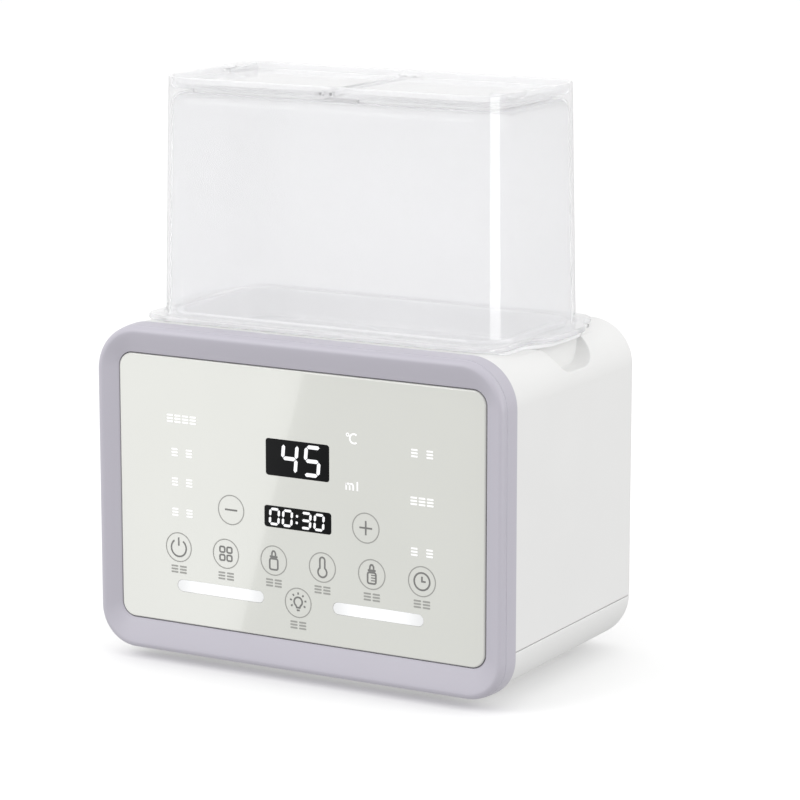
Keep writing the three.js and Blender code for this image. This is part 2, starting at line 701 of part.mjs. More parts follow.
// Flat ribbon from the control board's socket down to the power board, folded in steps.
function ribbonCable() {
  const path = [[-40.6, 43.5], [-33, 43.5], [-33, 33], [-15, 33], [-15, 27.4]];
  const left = RIBBON_X - RIBBON_WIDTH / 2;
  const right = RIBBON_X + RIBBON_WIDTH / 2;
  const run = path.slice(1).map(([y, z], i) => {
    const [y0, y1] = ordered(path[i][0], y);
    const [z0, z1] = ordered(path[i][1], z);
    return box(left, right, y0, y1 + RIBBON_THICKNESS, z0, z1 + RIBBON_THICKNESS);
  });
  return join(...run, box(left - 1, right + 1, -18, -11, POWER_BOARD_TOP + GAP, 28.4));
}

// ---------- mains inlet, low on the rear ----------

const INLET_X = -48;
const INLET_Z = 38;

function inletSocket() {
  const block = (outline, front, rear) => (
    frontSlab(outline, REAR_Y - front, REAR_Y - rear, INLET_X, INLET_Z)
  );
  const flange = block(roundedRect(26, 18, 4, 2), 4.6, 2.8);
  const body = block(roundedRect(20.4, 12.4, 5, 3), 18, 0.6);
  const mouth = block(roundedRect(16, 8.6, 4.2, 3), 13, -1);
  const pinHoles = inletPinPlaces().map((x) => rod(1.5, REAR_Y - 20, REAR_Y - 10, x, INLET_Z, 10));
  return cut(join(flange, body), mouth, ...pinHoles);
}

function inletPinPlaces() {
  return [INLET_X - 4.2, INLET_X + 4.2];
}

function inletPin(x) {
  return rod(1.15, REAR_Y - 21, REAR_Y - 5, x, INLET_Z, 10);
}

// ---------- basket ----------

const WELL_X = 37;
const CUP_WIDTH = 66;
const CUP_DEPTH = 64;
const CUP_CORNER = 24;
const BASKET_BOTTOM = 72;
const TRAY_FLOOR = 131;
const BASKET_WALL = 1.8;

function bottleBasket() {
  const flangeBottom = FLANGE_TOP - FLANGE_THICKNESS;
  const flange = slab(grippedRect(FLANGE_WIDTH, FLANGE_DEPTH, FLANGE_CORNER, FLANGE_SWELL),
    flangeBottom, FLANGE_TOP);
  const bead = slab(roundedRect(155.5, 71.2, 13.5), FLANGE_TOP - 1, FLANGE_TOP + 3);
  const tray = slab(roundedRect(152.6, 72, 15.5), TRAY_FLOOR - BASKET_WALL, FLANGE_TOP - 1);
  const trayHollow = slab(roundedRect(149, 67.4, 13), TRAY_FLOOR, 160);
  const cups = [-1, 1].map((side) => cupBlock(side, BASKET_WALL, BASKET_BOTTOM, TRAY_FLOOR));
  const hollows = [-1, 1].map((side) => cupBlock(side, 0, BASKET_BOTTOM + BASKET_WALL, 160));
  const slots = [-1, 1].flatMap((side) => [-2, -1, 0, 1, 2].map((i) => (
    slab(roundedRect(4, 30, 1.9, 2), 60, BASKET_BOTTOM + 4, side * WELL_X + i * 9)
  )));
  return cut(join(flange, bead, tray, ...cups), trayHollow, ...hollows, ...slots);
}

// Tapered cup for one bottle, or its hollow when it isn't grown by the wall.
function cupBlock(side, grow, low, high) {
  const taper = 4;
  const place = (width, depth, z) => (
    levelOutline(width + 2 * grow, depth + 2 * grow, CUP_CORNER + grow, z)
      .map((p) => new THREE.Vector3(p.x + side * WELL_X, p.y, z))
  );
  return taperedBlock(
    place(CUP_WIDTH - taper, CUP_DEPTH - taper, low),
    place(CUP_WIDTH, CUP_DEPTH, high),
  );
}

// ---------- lid ----------

// Lid wall section at height z, grown outwards or (when negative) inwards.
function lidOutline(z, grow = 0) {
  const t = (z - LID_FLANGE_TOP) / (LID_RIM_TOP - LID_FLANGE_TOP);
  const width = THREE.MathUtils.lerp(LID_BOTTOM_WIDTH, LID_TOP_WIDTH, t);
  const depth = THREE.MathUtils.lerp(LID_BOTTOM_DEPTH, LID_TOP_DEPTH, t);
  return levelOutline(width + 2 * grow, depth + 2 * grow, LID_CORNER + grow, z);
}

function steamLid() {
  const deckBottom = DECK_TOP - DECK_THICKNESS;
  const wall = taperedBlock(lidOutline(LID_FLANGE_BOTTOM), lidOutline(LID_RIM_TOP));
  const flange = slab(
    grippedRect(LID_FLANGE_WIDTH, LID_FLANGE_DEPTH, LID_FLANGE_CORNER, LID_FLANGE_SWELL),
    LID_FLANGE_BOTTOM, LID_FLANGE_TOP,
  );
  const chamber = taperedBlock(
    lidOutline(LID_FLANGE_BOTTOM - 5, -LID_WALL),
    lidOutline(deckBottom, -LID_WALL),
  );
  const recess = taperedBlock(
    lidOutline(DECK_TOP, -LID_WALL),
    lidOutline(LID_RIM_TOP + 5, -LID_WALL),
  );
  const mouths = [-1, 1].map((side) => (
    slab(roundedRect(MOUTH_WIDTH, MOUTH_DEPTH, MOUTH_CORNER), deckBottom - 3, DECK_TOP + 3,
      side * MOUTH_X)
  ));
  const notches = [-1, 1].map((side) => {
    const y = tabY(side);
    const half = TAB_WIDTH / 2 + 0.5;
    const span = ordered(side * (TAB_INNER_X + 1), side * (TAB_OUTER_X + 6));
    return box(...span, y - half, y + half, TAB_BOTTOM - GAP, LID_RIM_TOP + 5);
  });
  return join(
    cut(join(wall, flange), chamber, recess, ...mouths, ...notches),
    hingeLug(-1),
    hingeLug(1),
  );
}

// Middle of a flap's lift tab. The two tabs sit at opposite ends.
function tabY(side) {
  return WELL_Y - side * TAB_OFFSET;
}

// Lug on the deck with a blind hole for one pin of each flap; end is -1 in front.
function hingeLug(end) {
  const [y0, y1] = ordered(WELL_Y + end * LUG_INNER, WELL_Y + end * LUG_OUTER);
  const lug = box(-LUG_HALF_WIDTH, LUG_HALF_WIDTH, y0, y1, DECK_TOP - 0.5, LUG_TOP);
  const floor = 0.9;
  return cut(lug, ...[-1, 1].map((side) => (
    rod(FLAP_PIN + GAP, y0 - end * floor, y1 - end * floor, side * FLAP_AXIS_X, FLAP_AXIS_Z, 12)
  )));
}

// One flap, hinged beside the lid's middle; side is -1 for the left one and 1 for the right.
function flap(side) {
  const axisX = side * FLAP_AXIS_X;
  const pinEnd = LUG_OUTER - 1.4;
  const keep = box(...ordered(axisX, side * WIDTH), -DEPTH, DEPTH, 0, HEIGHT);
  const clear = [-1, 1].map((end) => (
    box(-20, 20, ...ordered(WELL_Y + end * BARREL_HALF, WELL_Y + end * 40), 0, HEIGHT)
  ));
  const outline = roundedRect(2 * FLAP_REACH, 2 * FLAP_HALF_DEPTH, FLAP_CORNER);
  const sheet = cut(slab(outline, FLAP_BOTTOM, FLAP_TOP).intersect(keep), ...clear);
  const barrel = rod(FLAP_BARREL, WELL_Y - BARREL_HALF, WELL_Y + BARREL_HALF,
    axisX, FLAP_AXIS_Z, 12);
  const pins = rod(FLAP_PIN, WELL_Y - pinEnd, WELL_Y + pinEnd, axisX, FLAP_AXIS_Z, 10);
  const tabSpan = [tabY(side) - TAB_WIDTH / 2, tabY(side) + TAB_WIDTH / 2];
  const riser = box(...ordered(side * TAB_INNER_X, side * TAB_OUTER_X), ...tabSpan,
    TAB_BOTTOM, HEIGHT);
  const root = box(...ordered(side * TAB_INNER_X, side * (TAB_INNER_X + 6)), ...tabSpan,
    FLAP_TOP - 0.5, TAB_BOTTOM + 0.6);
  return join(sheet, barrel, pins, riser, root);
}

// ---------- screws ----------

// Pan-head screw standing upright with its head at the bottom.
function screwUp([x, y], headBottom, tipTop, headRadius = 3, shankRadius = 1.2) {
  const profile = [[0, headBottom], [headRadius, headBottom], [headRadius, headBottom + 1.6],
    [shankRadius, headBottom + 1.6], [shankRadius, tipTop - 1], [0, tipTop]];
  return lathe(profile, x, y, 10);
}

// Pan-head screw along Y with its head at the rear, driven towards the front.
function screwForward([x, z], headY, tipY) {
  return join(rod(2.6, headY - 1.5, headY, x, z, 12), rod(1, tipY, headY - 1, x, z, 8));
}

// ---------- assembly ----------

const FINISH = {
  white: { color: 0xe9e9e8, roughness: 0.45, metalness: 0 },
  lavender: { color: 0xc0bbcd, roughness: 0.4, metalness: 0 },
  ivory: { color: 0xe2e1db, roughness: 0.12, metalness: 0 },
  smoked: { color: 0x111214, roughness: 0.15, metalness: 0 },
  glow: { color: 0xffffff, roughness: 0.4, metalness: 0 },
  clear: { color: 0xdfe2e8, roughness: 0.3, metalness: 0 },
  rubber: { color: 0x8d8d90, roughness: 0.85, metalness: 0 },
  silicone: { color: 0xd7d9dc, roughness: 0.7, metalness: 0 },
  steel: { color: 0xb9bcc0, roughness: 0.3, metalness: 1 },
  aluminium: { color: 0xa8acb0, roughness: 0.45, metalness: 1 },
  board: { color: 0x2f6b4a, roughness: 0.6, metalness: 0 },
  black: { color: 0x1c1c1e, roughness: 0.5, metalness: 0 },
  foam: { color: 0x4a4a4c, roughness: 0.9, metalness: 0 },
  ribbon: { color: 0xc9c5bd, roughness: 0.6, metalness: 0 },
};

const sterilizer = new THREE.Group();

function add(name, solid, finish) {
  const mesh = new THREE.Mesh(toGeometry(solid), new THREE.MeshStandardMaterial(FINISH[finish]));
  mesh.name = name;
  sterilizer.add(mesh);
}

const CORNER_NAMES = ['left_front', 'left_rear', 'right_front', 'right_rear'];

add('housing_shell', housingShell(), 'white');
add('base_cover', baseCover(), 'white');
add('front_bezel', frontBezel(), 'lavender');
add('control_panel', controlPanel(), 'ivory');
add('temperature_window', displayWindow(TEMPERATURE_WINDOW), 'smoked');
add('timer_window', displayWindow(TIMER_WINDOW), 'smoked');
add('temperature_led_module', ledModule(TEMPERATURE_WINDOW), 'black');
add('timer_led_module', ledModule(TIMER_WINDOW), 'black');
for (const [side, sign] of [['left', -1], ['right', 1]]) {
  add(`night_light_${side}`, lightBar(sign * LIGHT_BAR_X, LIGHT_BAR_Z), 'glow');
  add(`night_light_leds_${side}`, lightStrip(sign * LIGHT_BAR_X, LIGHT_BAR_Z), 'board');
}
add('control_board', controlBoard(), 'board');
add('board_carrier', boardCarrier(), 'white');
add('buzzer', buzzer(), 'black');
for (const [key, place] of Object.entries(keyPlaces())) {
  add(`touch_pad_${key}`, touchPad(place), 'foam');
}
add('water_tank', waterTank(), 'white');
add('tank_gasket', tankGasket(), 'silicone');
add('heating_plate', heatingPlate(), 'steel');
add('plate_seal', plateSeal(), 'silicone');
add('heater_block', heaterBlock(), 'aluminium');
add('heater_clamp', heaterClamp(), 'steel');
add('thermistor', thermistor(), 'steel');
add('thermal_fuse', thermalFuse(), 'clear');
add('power_board', powerBoard(), 'board');
add('transformer', transformer(), 'black');
add('relay', relay(), 'black');
add('capacitor', capacitor(), 'black');
add('ribbon_cable', ribbonCable(), 'ribbon');
add('inlet_socket', inletSocket(), 'black');
inletPinPlaces().forEach((x, i) => add(`inlet_pin_${i + 1}`, inletPin(x), 'steel'));
footPlaces().forEach(([x, y], i) => add(`foot_${CORNER_NAMES[i]}`, foot(x, y), 'rubber'));
baseScrewPlaces().forEach((place, i) => {
  add(`base_screw_${CORNER_NAMES[i]}`, screwUp(place, 10.1, 34), 'steel');
});
tankScrewPlaces().forEach((place, i) => {
  add(`tank_screw_${CORNER_NAMES[i]}`, screwUp(place, 122.1, 132, 2.8, 1.1), 'steel');
});
clampScrewPlaces().forEach((place, i) => {
  add(`clamp_screw_${['left', 'right'][i]}`, screwUp(place, 54.5, 61, 2.8, 1), 'steel');
});
carrierScrewPlaces().forEach((place, i) => {
  const side = ['left', 'right'][i];
  add(`carrier_screw_${side}`, screwForward(place, CARRIER_BACK_Y + GAP + 1.5, -50), 'steel');
});
add('bottle_basket', bottleBasket(), 'clear');
add('steam_lid', steamLid(), 'clear');
add('flap_left', flap(-1), 'clear');
add('flap_right', flap(1), 'clear');

export default sterilizer;
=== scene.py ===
"""Looks of the double bottle warmer and steam steriliser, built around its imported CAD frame.

Shapes are worked out in millimetres from the boxes of the CAD nodes and scaled to metres when
a mesh is made. X is the width, -Y the front, Z up.
"""

import math

import bmesh
import bpy
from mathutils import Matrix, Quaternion, Vector


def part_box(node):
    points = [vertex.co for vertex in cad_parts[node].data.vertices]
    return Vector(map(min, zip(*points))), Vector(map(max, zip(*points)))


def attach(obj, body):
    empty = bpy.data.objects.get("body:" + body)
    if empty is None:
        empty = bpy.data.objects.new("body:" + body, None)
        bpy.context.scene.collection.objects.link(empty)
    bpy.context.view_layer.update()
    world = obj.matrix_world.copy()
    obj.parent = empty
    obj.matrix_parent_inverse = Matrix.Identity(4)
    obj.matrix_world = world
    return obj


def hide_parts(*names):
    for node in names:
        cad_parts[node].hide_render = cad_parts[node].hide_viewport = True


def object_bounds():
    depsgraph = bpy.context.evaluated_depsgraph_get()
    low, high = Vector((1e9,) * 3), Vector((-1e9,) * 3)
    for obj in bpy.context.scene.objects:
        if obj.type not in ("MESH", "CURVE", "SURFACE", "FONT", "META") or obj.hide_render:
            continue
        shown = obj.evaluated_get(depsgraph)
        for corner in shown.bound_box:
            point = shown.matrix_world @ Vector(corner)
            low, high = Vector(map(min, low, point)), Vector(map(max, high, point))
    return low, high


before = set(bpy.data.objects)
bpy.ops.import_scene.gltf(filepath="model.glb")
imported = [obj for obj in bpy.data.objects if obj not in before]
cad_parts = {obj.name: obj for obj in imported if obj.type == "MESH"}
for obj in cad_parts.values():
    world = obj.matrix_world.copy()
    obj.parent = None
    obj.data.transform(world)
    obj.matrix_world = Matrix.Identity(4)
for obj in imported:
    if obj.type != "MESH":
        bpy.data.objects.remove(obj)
cad_low, cad_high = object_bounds()

MM = 0.001
ROUND_STEPS = 20          # segments in a quarter turn of a large corner
EDGE_STEPS = 4            # segments across a small rounded edge
BORE_SIDES = 40           # sides of a turned part


# ---------- the frame, in millimetres ----------

def span(node):
    """Lowest and highest corner of a CAD node."""
    low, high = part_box(node)
    return [c / MM for c in low], [c / MM for c in high]


def centre(node):
    low, high = span(node)
    return [(a + b) / 2 for a, b in zip(low, high)]


RING_LOW, RING_HIGH = span("front_bezel")
PANEL_LOW, PANEL_HIGH = span("control_panel")
SHELL_LOW, SHELL_HIGH = span("housing_shell")
BASE_LOW, BASE_HIGH = span("base_cover")
BASKET_LOW, BASKET_HIGH = span("bottle_basket")
LID_LOW, LID_HIGH = span("steam_lid")
TANK_LOW, TANK_HIGH = span("water_tank")

SEAM_Y = SHELL_LOW[1]
CASE_WIDTH = SHELL_HIGH[0] - SHELL_LOW[0]
CASE_HEIGHT = SHELL_HIGH[2] - BASE_LOW[2]
CASE_Z = (SHELL_HIGH[2] + BASE_LOW[2]) / 2
CASE_TOP = SHELL_HIGH[2]
CASE_CORNER = 19
CASE_WALL = 2.5
REAR_FILLET = 9
BASE_SEAM_Z = SHELL_LOW[2]
WELL_Y = (LID_LOW[1] + LID_HIGH[1]) / 2
PANEL_Y = PANEL_LOW[1]
PANEL_CENTRE_Z = (PANEL_LOW[2] + PANEL_HIGH[2]) / 2
PANEL_CORNER = 6

CORNERS = ("left_front", "left_rear", "right_front", "right_rear")
FEET = [f"foot_{corner}" for corner in CORNERS]
BASE_SCREWS = [f"base_screw_{corner}" for corner in CORNERS]
SIDES = (-1, 1)

# Flanges that widen into lift tabs: width, depth, corner and how far a tab swells.
BASKET_FLANGE = (164.4, 87, 10, 5.5)
BASKET_RECESS = (165, 87.6, 10.3, 5.9)
LID_FLANGE = (166.2, 91, 11, 7.2)


# ---------- outlines: points of a shape, pulled in by an inset ----------

def rounded(width, depth, corner, steps=ROUND_STEPS):
    """Rounded rectangle. A negative inset grows it."""
    corners = [corner] * 4 if isinstance(corner, (int, float)) else corner

    def outline(inset=0.0):
        points = []
        places = zip(((1, -1), (1, 1), (-1, 1), (-1, -1)), (-90, 0, 90, 180), corners)
        for (side_x, side_y), start, size in places:
            radius = max(size - inset, 0.15)
            centre_x = side_x * (width / 2 - inset - radius)
            centre_y = side_y * (depth / 2 - inset - radius)
            for i in range(steps + 1):
                angle = math.radians(start + 90 * i / steps)
                points.append((centre_x + radius * math.cos(angle),
                               centre_y + radius * math.sin(angle)))
        return points

    return outline


def gripped(width, depth, corner, swell, flat=9.5, blend=18, grip_y=5.5):
    """Rounded rectangle whose two short sides swell into lift tabs."""
    def outline(inset=0.0):
        corners = rounded(width, depth, corner)(inset)
        arc = ROUND_STEPS + 1
        straight = depth / 2 - max(corner, inset + 0.15)

        def tab(side, start, stop):
            points, steps = [], 36
            for i in range(1, steps):
                y = start + (stop - start) * i / steps
                reach = min(max((abs(y - grip_y) - flat) / blend, 0), 1)
                grow = swell * (1 + math.cos(math.pi * reach)) / 2
                points.append((side * (width / 2 - inset + grow), y))
            return points

        return (corners[:arc] + tab(1, -straight, straight) + corners[arc:3 * arc]
                + tab(-1, straight, -straight) + corners[3 * arc:])

    return outline


def circle(radius, sides=BORE_SIDES):
    def outline(inset=0.0):
        turn = [2 * math.pi * i / sides for i in range(sides)]
        return [((radius - inset) * math.cos(a), (radius - inset) * math.sin(a)) for a in turn]

    return outline


# ---------- profiles: (inset, position) pairs along a sweep ----------

def edge(position, fillet, direction, inset=0.0, opening=False, steps=EDGE_STEPS):
    """Rounded edge at an end of a plate. direction is 1 where the sweep arrives, -1 where it leaves."""
    pairs = []
    for i in range(steps + 1):
        angle = math.pi / 2 * i / steps
        pull = fillet * (1 - math.cos(angle))
        along = fillet * (1 - math.sin(angle))
        pairs.append((inset + pull, along))
    if direction < 0:
        pairs.reverse()
    sign = 1 if opening else -1
    return [(pull, position + sign * along) for pull, along in pairs]


def plate(low, high, fillet_low=0.0, fillet_high=0.0):
    """Profile of a slab from low to high with rounded edges."""
    start = edge(low, fillet_low, -1, opening=True) if fillet_low else [(0.0, low)]
    end = edge(high, fillet_high, 1) if fillet_high else [(0.0, high)]
    return start + end


def level(x=0.0, y=0.0):
    return lambda point, at: (point[0] + x, point[1] + y, at)


def upright(x=0.0, z=0.0):
    """Sweep along Y, with the outline drawn in X and Z."""
    return lambda point, at: (point[0] + x, at, point[1] + z)


# ---------- meshes ----------

def make(bm):
    bmesh.ops.recalc_face_normals(bm, faces=bm.faces)
    mesh = bpy.data.meshes.new("part")
    bm.to_mesh(mesh)
    bm.free()
    obj = bpy.data.objects.new("part", mesh)
    bpy.context.scene.collection.objects.link(obj)
    return obj


def add_rows(bm, rows, closed=False):
    """Skin over rows of points, capped at both ends unless the run is closed on itself."""
    loops = [[bm.verts.new(Vector(p) * MM) for p in row] for row in rows]
    count = len(loops[0])
    runs = list(zip(loops, loops[1:])) + ([(loops[-1], loops[0])] if closed else [])
    for here, there in runs:
        for i in range(count):
            j = (i + 1) % count
            bm.faces.new((here[i], here[j], there[j], there[i]))
    if not closed:
        bm.faces.new(loops[0][::-1])
        bm.faces.new(loops[-1])


def skin(rows, closed=False):
    bm = bmesh.new()
    add_rows(bm, rows, closed)
    return make(bm)


def sweep(outline, profile, place):
    """Solid whose outline is pulled in and moved along through (inset, position) pairs."""
    return skin([[place(p, at) for p in outline(inset)] for inset, at in profile])


def block(x0, x1, y0, y1, z0, z1, fillet=0.0, corner=0.0):
    """Upright box with optional rounded corners and edges."""
    outline = rounded(x1 - x0, y1 - y0, max(corner, fillet, 0.01), steps=6 if corner else 2)
    return sweep(outline, plate(z0, z1, fillet, fillet), level((x0 + x1) / 2, (y0 + y1) / 2))


def turned(profile, x, y, sides=BORE_SIDES):
    """Solid of revolution about an upright axis, from (radius, height) pairs off the axis."""
    rows = []
    for radius, z in profile:
        turn = [2 * math.pi * i / sides for i in range(sides)]
        rows.append([(x + radius * math.cos(a), y + radius * math.sin(a), z) for a in turn])
    return skin(rows)


def combine(operation, body, *tools):
    """Boolean of body with each tool in turn. The tools are used up."""
    for tool in tools:
        modifier = body.modifiers.new("boolean", "BOOLEAN")
        modifier.object = tool
        modifier.operation = operation
        modifier.solver = "EXACT"
    depsgraph = bpy.context.evaluated_depsgraph_get()
    mesh = bpy.data.meshes.new_from_object(body.evaluated_get(depsgraph))
    body.modifiers.clear()
    body.data = mesh
    for tool in tools:
        bpy.data.objects.remove(tool)
    return body


def cut(body, *tools):
    return combine("DIFFERENCE", body, *tools)


def join(body, *tools):
    return combine("UNION", body, *tools)


def soften(obj, width, angle=40):
    """Rounds every edge sharper than the angle, in millimetres and degrees."""
    bm = bmesh.new()
    bm.from_mesh(obj.data)
    bmesh.ops.remove_doubles(bm, verts=bm.verts, dist=0.002 * MM)
    sharp = [e for e in bm.edges if len(e.link_faces) == 2
             and e.calc_face_angle() > math.radians(angle)]
    bmesh.ops.bevel(bm, geom=sharp, offset=width * MM, segments=3, profile=0.5,
                    affect="EDGES", clamp_overlap=False)
    bmesh.ops.recalc_face_normals(bm, faces=bm.faces)
    bm.to_mesh(obj.data)
    bm.free()
    return obj


def finish_piece(obj, name, material, body, slot, *replaced, sharp=38):
    """Names and shades a piece and hangs it on its CAD body."""
    obj.name = name
    obj.data.name = name
    obj.data.materials.clear()
    obj.data.materials.append(material)
    obj.data.polygons.foreach_set("use_smooth", [True] * len(obj.data.polygons))
    obj.data.set_sharp_from_angle(angle=math.radians(sharp))
    weighted = obj.modifiers.new("weighted_normals", "WEIGHTED_NORMAL")
    weighted.keep_sharp = True
    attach(obj, body)
    if replaced:
        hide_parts(*replaced)
    return obj


# ---------- materials ----------

def rgb(code):
    """Linear colour from an sRGB hex string."""
    parts = [int(code[i:i + 2], 16) / 255 for i in (0, 2, 4)]
    linear = [p / 12.92 if p <= 0.04045 else ((p + 0.055) / 1.055) ** 2.4 for p in parts]
    return (*linear, 1.0)


def shade(colour, factor):
    return (*[min(c * factor, 1.0) for c in colour[:3]], 1.0)


def finish(name, colour, roughness, spread=0.05, grain=900, relief=0.01, tint=0.02, **sockets):
    """Procedural moulded or metal finish.

    Roughness wanders by spread, the colour by tint, and relief in millimetres is the depth of
    a fine grain. Other sockets of the shader are set directly.
    """
    made = bpy.data.materials.new(name)
    made.use_nodes = True
    nodes, links = made.node_tree.nodes, made.node_tree.links
    shader = nodes["Principled BSDF"]
    where = nodes.new("ShaderNodeTexCoord")

    def noise(scale, detail):
        node = nodes.new("ShaderNodeTexNoise")
        node.inputs["Scale"].default_value = scale
        node.inputs["Detail"].default_value = detail
        links.new(where.outputs["Object"], node.inputs["Vector"])
        return node.outputs["Fac"]

    clouds = noise(28, 3)
    shades = nodes.new("ShaderNodeMix")
    shades.data_type = "RGBA"
    shades.inputs[6].default_value = shade(colour, 1 - tint)
    shades.inputs[7].default_value = shade(colour, 1 + tint)
    links.new(clouds, shades.inputs[0])
    links.new(shades.outputs[2], shader.inputs["Base Color"])

    polish = nodes.new("ShaderNodeMapRange")
    polish.inputs["To Min"].default_value = max(roughness - spread, 0.02)
    polish.inputs["To Max"].default_value = min(roughness + spread, 1.0)
    links.new(noise(160, 4), polish.inputs["Value"])
    links.new(polish.outputs["Result"], shader.inputs["Roughness"])

    bump = nodes.new("ShaderNodeBump")
    bump.inputs["Strength"].default_value = 0.35
    bump.inputs["Distance"].default_value = relief * MM
    links.new(noise(grain, 2), bump.inputs["Height"])
    links.new(bump.outputs["Normal"], shader.inputs["Normal"])

    for socket, value in sockets.items():
        shader.inputs[socket.replace("_", " ")].default_value = value
    return made


WHITE = finish("white_plastic", rgb("EAEAE9"), 0.38, grain=2600, relief=0.012,
               Coat_Weight=0.15, Coat_Roughness=0.25)
LAVENDER = finish("lavender_plastic", rgb("BEBBC5"), 0.4, grain=2600, relief=0.01)
IVORY = finish("ivory_panel", rgb("DCDDD7"), 0.06, spread=0.02, grain=60, relief=0.002,
               Coat_Weight=0.8, Coat_Roughness=0.02)
SMOKED = finish("smoked_window", rgb("0A0B0D"), 0.14, spread=0.04, grain=60, relief=0.004,
                Specular_IOR_Level=0.12)
# Milky lid plastic with a faint white emission: a painted glow that brightens the lid, and the flaps
# that share it, as if more light reached it, though it is no lamp.
LID_PLASTIC_PAINTED_GLOW = finish("lid_plastic", rgb("F8F8F9"), 0.045, spread=0.015, grain=420, relief=0,
                     tint=0.003, Transmission_Weight=0.74, IOR=1.06, Coat_Weight=1.0,
                     Coat_Roughness=0.14, Sheen_Weight=0.25, Sheen_Roughness=0.3,
                     Emission_Color=(1, 1, 1, 1), Emission_Strength=0.016)
# Basket plastic with a white emission: a painted glow that lightens the basket where it sits shaded
# inside the lid, though it is no lamp.
BASKET_PLASTIC_PAINTED_GLOW = finish("basket_plastic", rgb("F9F9FA"), 0.2, spread=0.03, grain=900, relief=0.001,
                        tint=0.003, Transmission_Weight=0.15, IOR=1.2, Coat_Weight=0.2,
                        Coat_Roughness=0.2, Emission_Color=(1, 1, 1, 1), Emission_Strength=0.07)
TANK_PLASTIC = finish("tank_plastic", rgb("F6F6F5"), 0.4, grain=1800, relief=0.012)
RUBBER = finish("foot_rubber", rgb("8D8D90"), 0.82, grain=2400, relief=0.03)
SILICONE = finish("silicone", rgb("D7D9DC"), 0.65, grain=1800, relief=0.02)
STEEL = finish("steel", rgb("C4C7CB"), 0.28, spread=0.08, grain=3200, relief=0.006, Metallic=1.0)
ALUMINIUM = finish("cast_aluminium", rgb("B4B7BB"), 0.48, spread=0.08, grain=1200, relief=0.05,
                   Metallic=1.0)
BLACK = finish("black_plastic", rgb("1E1E20"), 0.45, grain=1800, relief=0.02)
BOARD = finish("circuit_board", rgb("2F6B4A"), 0.5, grain=1400, relief=0.02, Coat_Weight=0.3)
FOAM = finish("conductive_foam", rgb("4A4A4C"), 0.95, grain=3200, relief=0.08)
RIBBON = finish("ribbon", rgb("C9C5BD"), 0.55, grain=1400, relief=0.02)
PRINT_GREY = finish("print_grey", rgb("7C7C7A"), 0.4, grain=1200, relief=0.004)
PRINT_PALE = finish("print_pale", rgb("A2A29E"), 0.4, grain=1200, relief=0.004)
PRINT_WHITE = finish("print_white", rgb("FFFFFF"), 0.35, grain=1200, relief=0.004,
                     Emission_Color=(1, 1, 1, 1), Emission_Strength=0.12)
DIGITS = finish("lit_digits", rgb("F0F0F0"), 0.4, grain=600, relief=0.004,
                Emission_Color=rgb("F4F8FF"), Emission_Strength=0.3)
LIGHT_GUIDE = finish("light_guide", rgb("E9EAEB"), 0.35, grain=600, relief=0.004,
                     Emission_Color=rgb("FFFFFF"))


def fade_light_bars():
    """Dims the glow of both light bars from their middles to their ends."""
    low, high = span("night_light_right")
    middle, reach = (low[0] + high[0]) / 2 * MM, (high[0] - low[0]) / 2 * MM
    nodes, links = LIGHT_GUIDE.node_tree.nodes, LIGHT_GUIDE.node_tree.links
    split = nodes.new("ShaderNodeSeparateXYZ")
    links.new(nodes.new("ShaderNodeTexCoord").outputs["Object"], split.inputs[0])
    distance = split.outputs["X"]
    for operation, amount in (("ABSOLUTE", 0), ("SUBTRACT", middle), ("ABSOLUTE", 0)):
        step = nodes.new("ShaderNodeMath")
        step.operation = operation
        links.new(distance, step.inputs[0])
        step.inputs[1].default_value = amount
        distance = step.outputs[0]
    glow = nodes.new("ShaderNodeMapRange")
    glow.interpolation_type = "SMOOTHSTEP"
    glow.inputs["From Min"].default_value = 0.45 * reach
    glow.inputs["From Max"].default_value = reach
    glow.inputs["To Min"].default_value = 0.24
    glow.inputs["To Max"].default_value = 0.07
    links.new(distance, glow.inputs["Value"])
    links.new(glow.outputs["Result"], nodes["Principled BSDF"].inputs["Emission Strength"])


fade_light_bars()


# ---------- front ring ----------

OPENING_GAP = 0.4         # dark line left around the panel
RING_GAP = 0.3            # between the ring and the parts that it meets


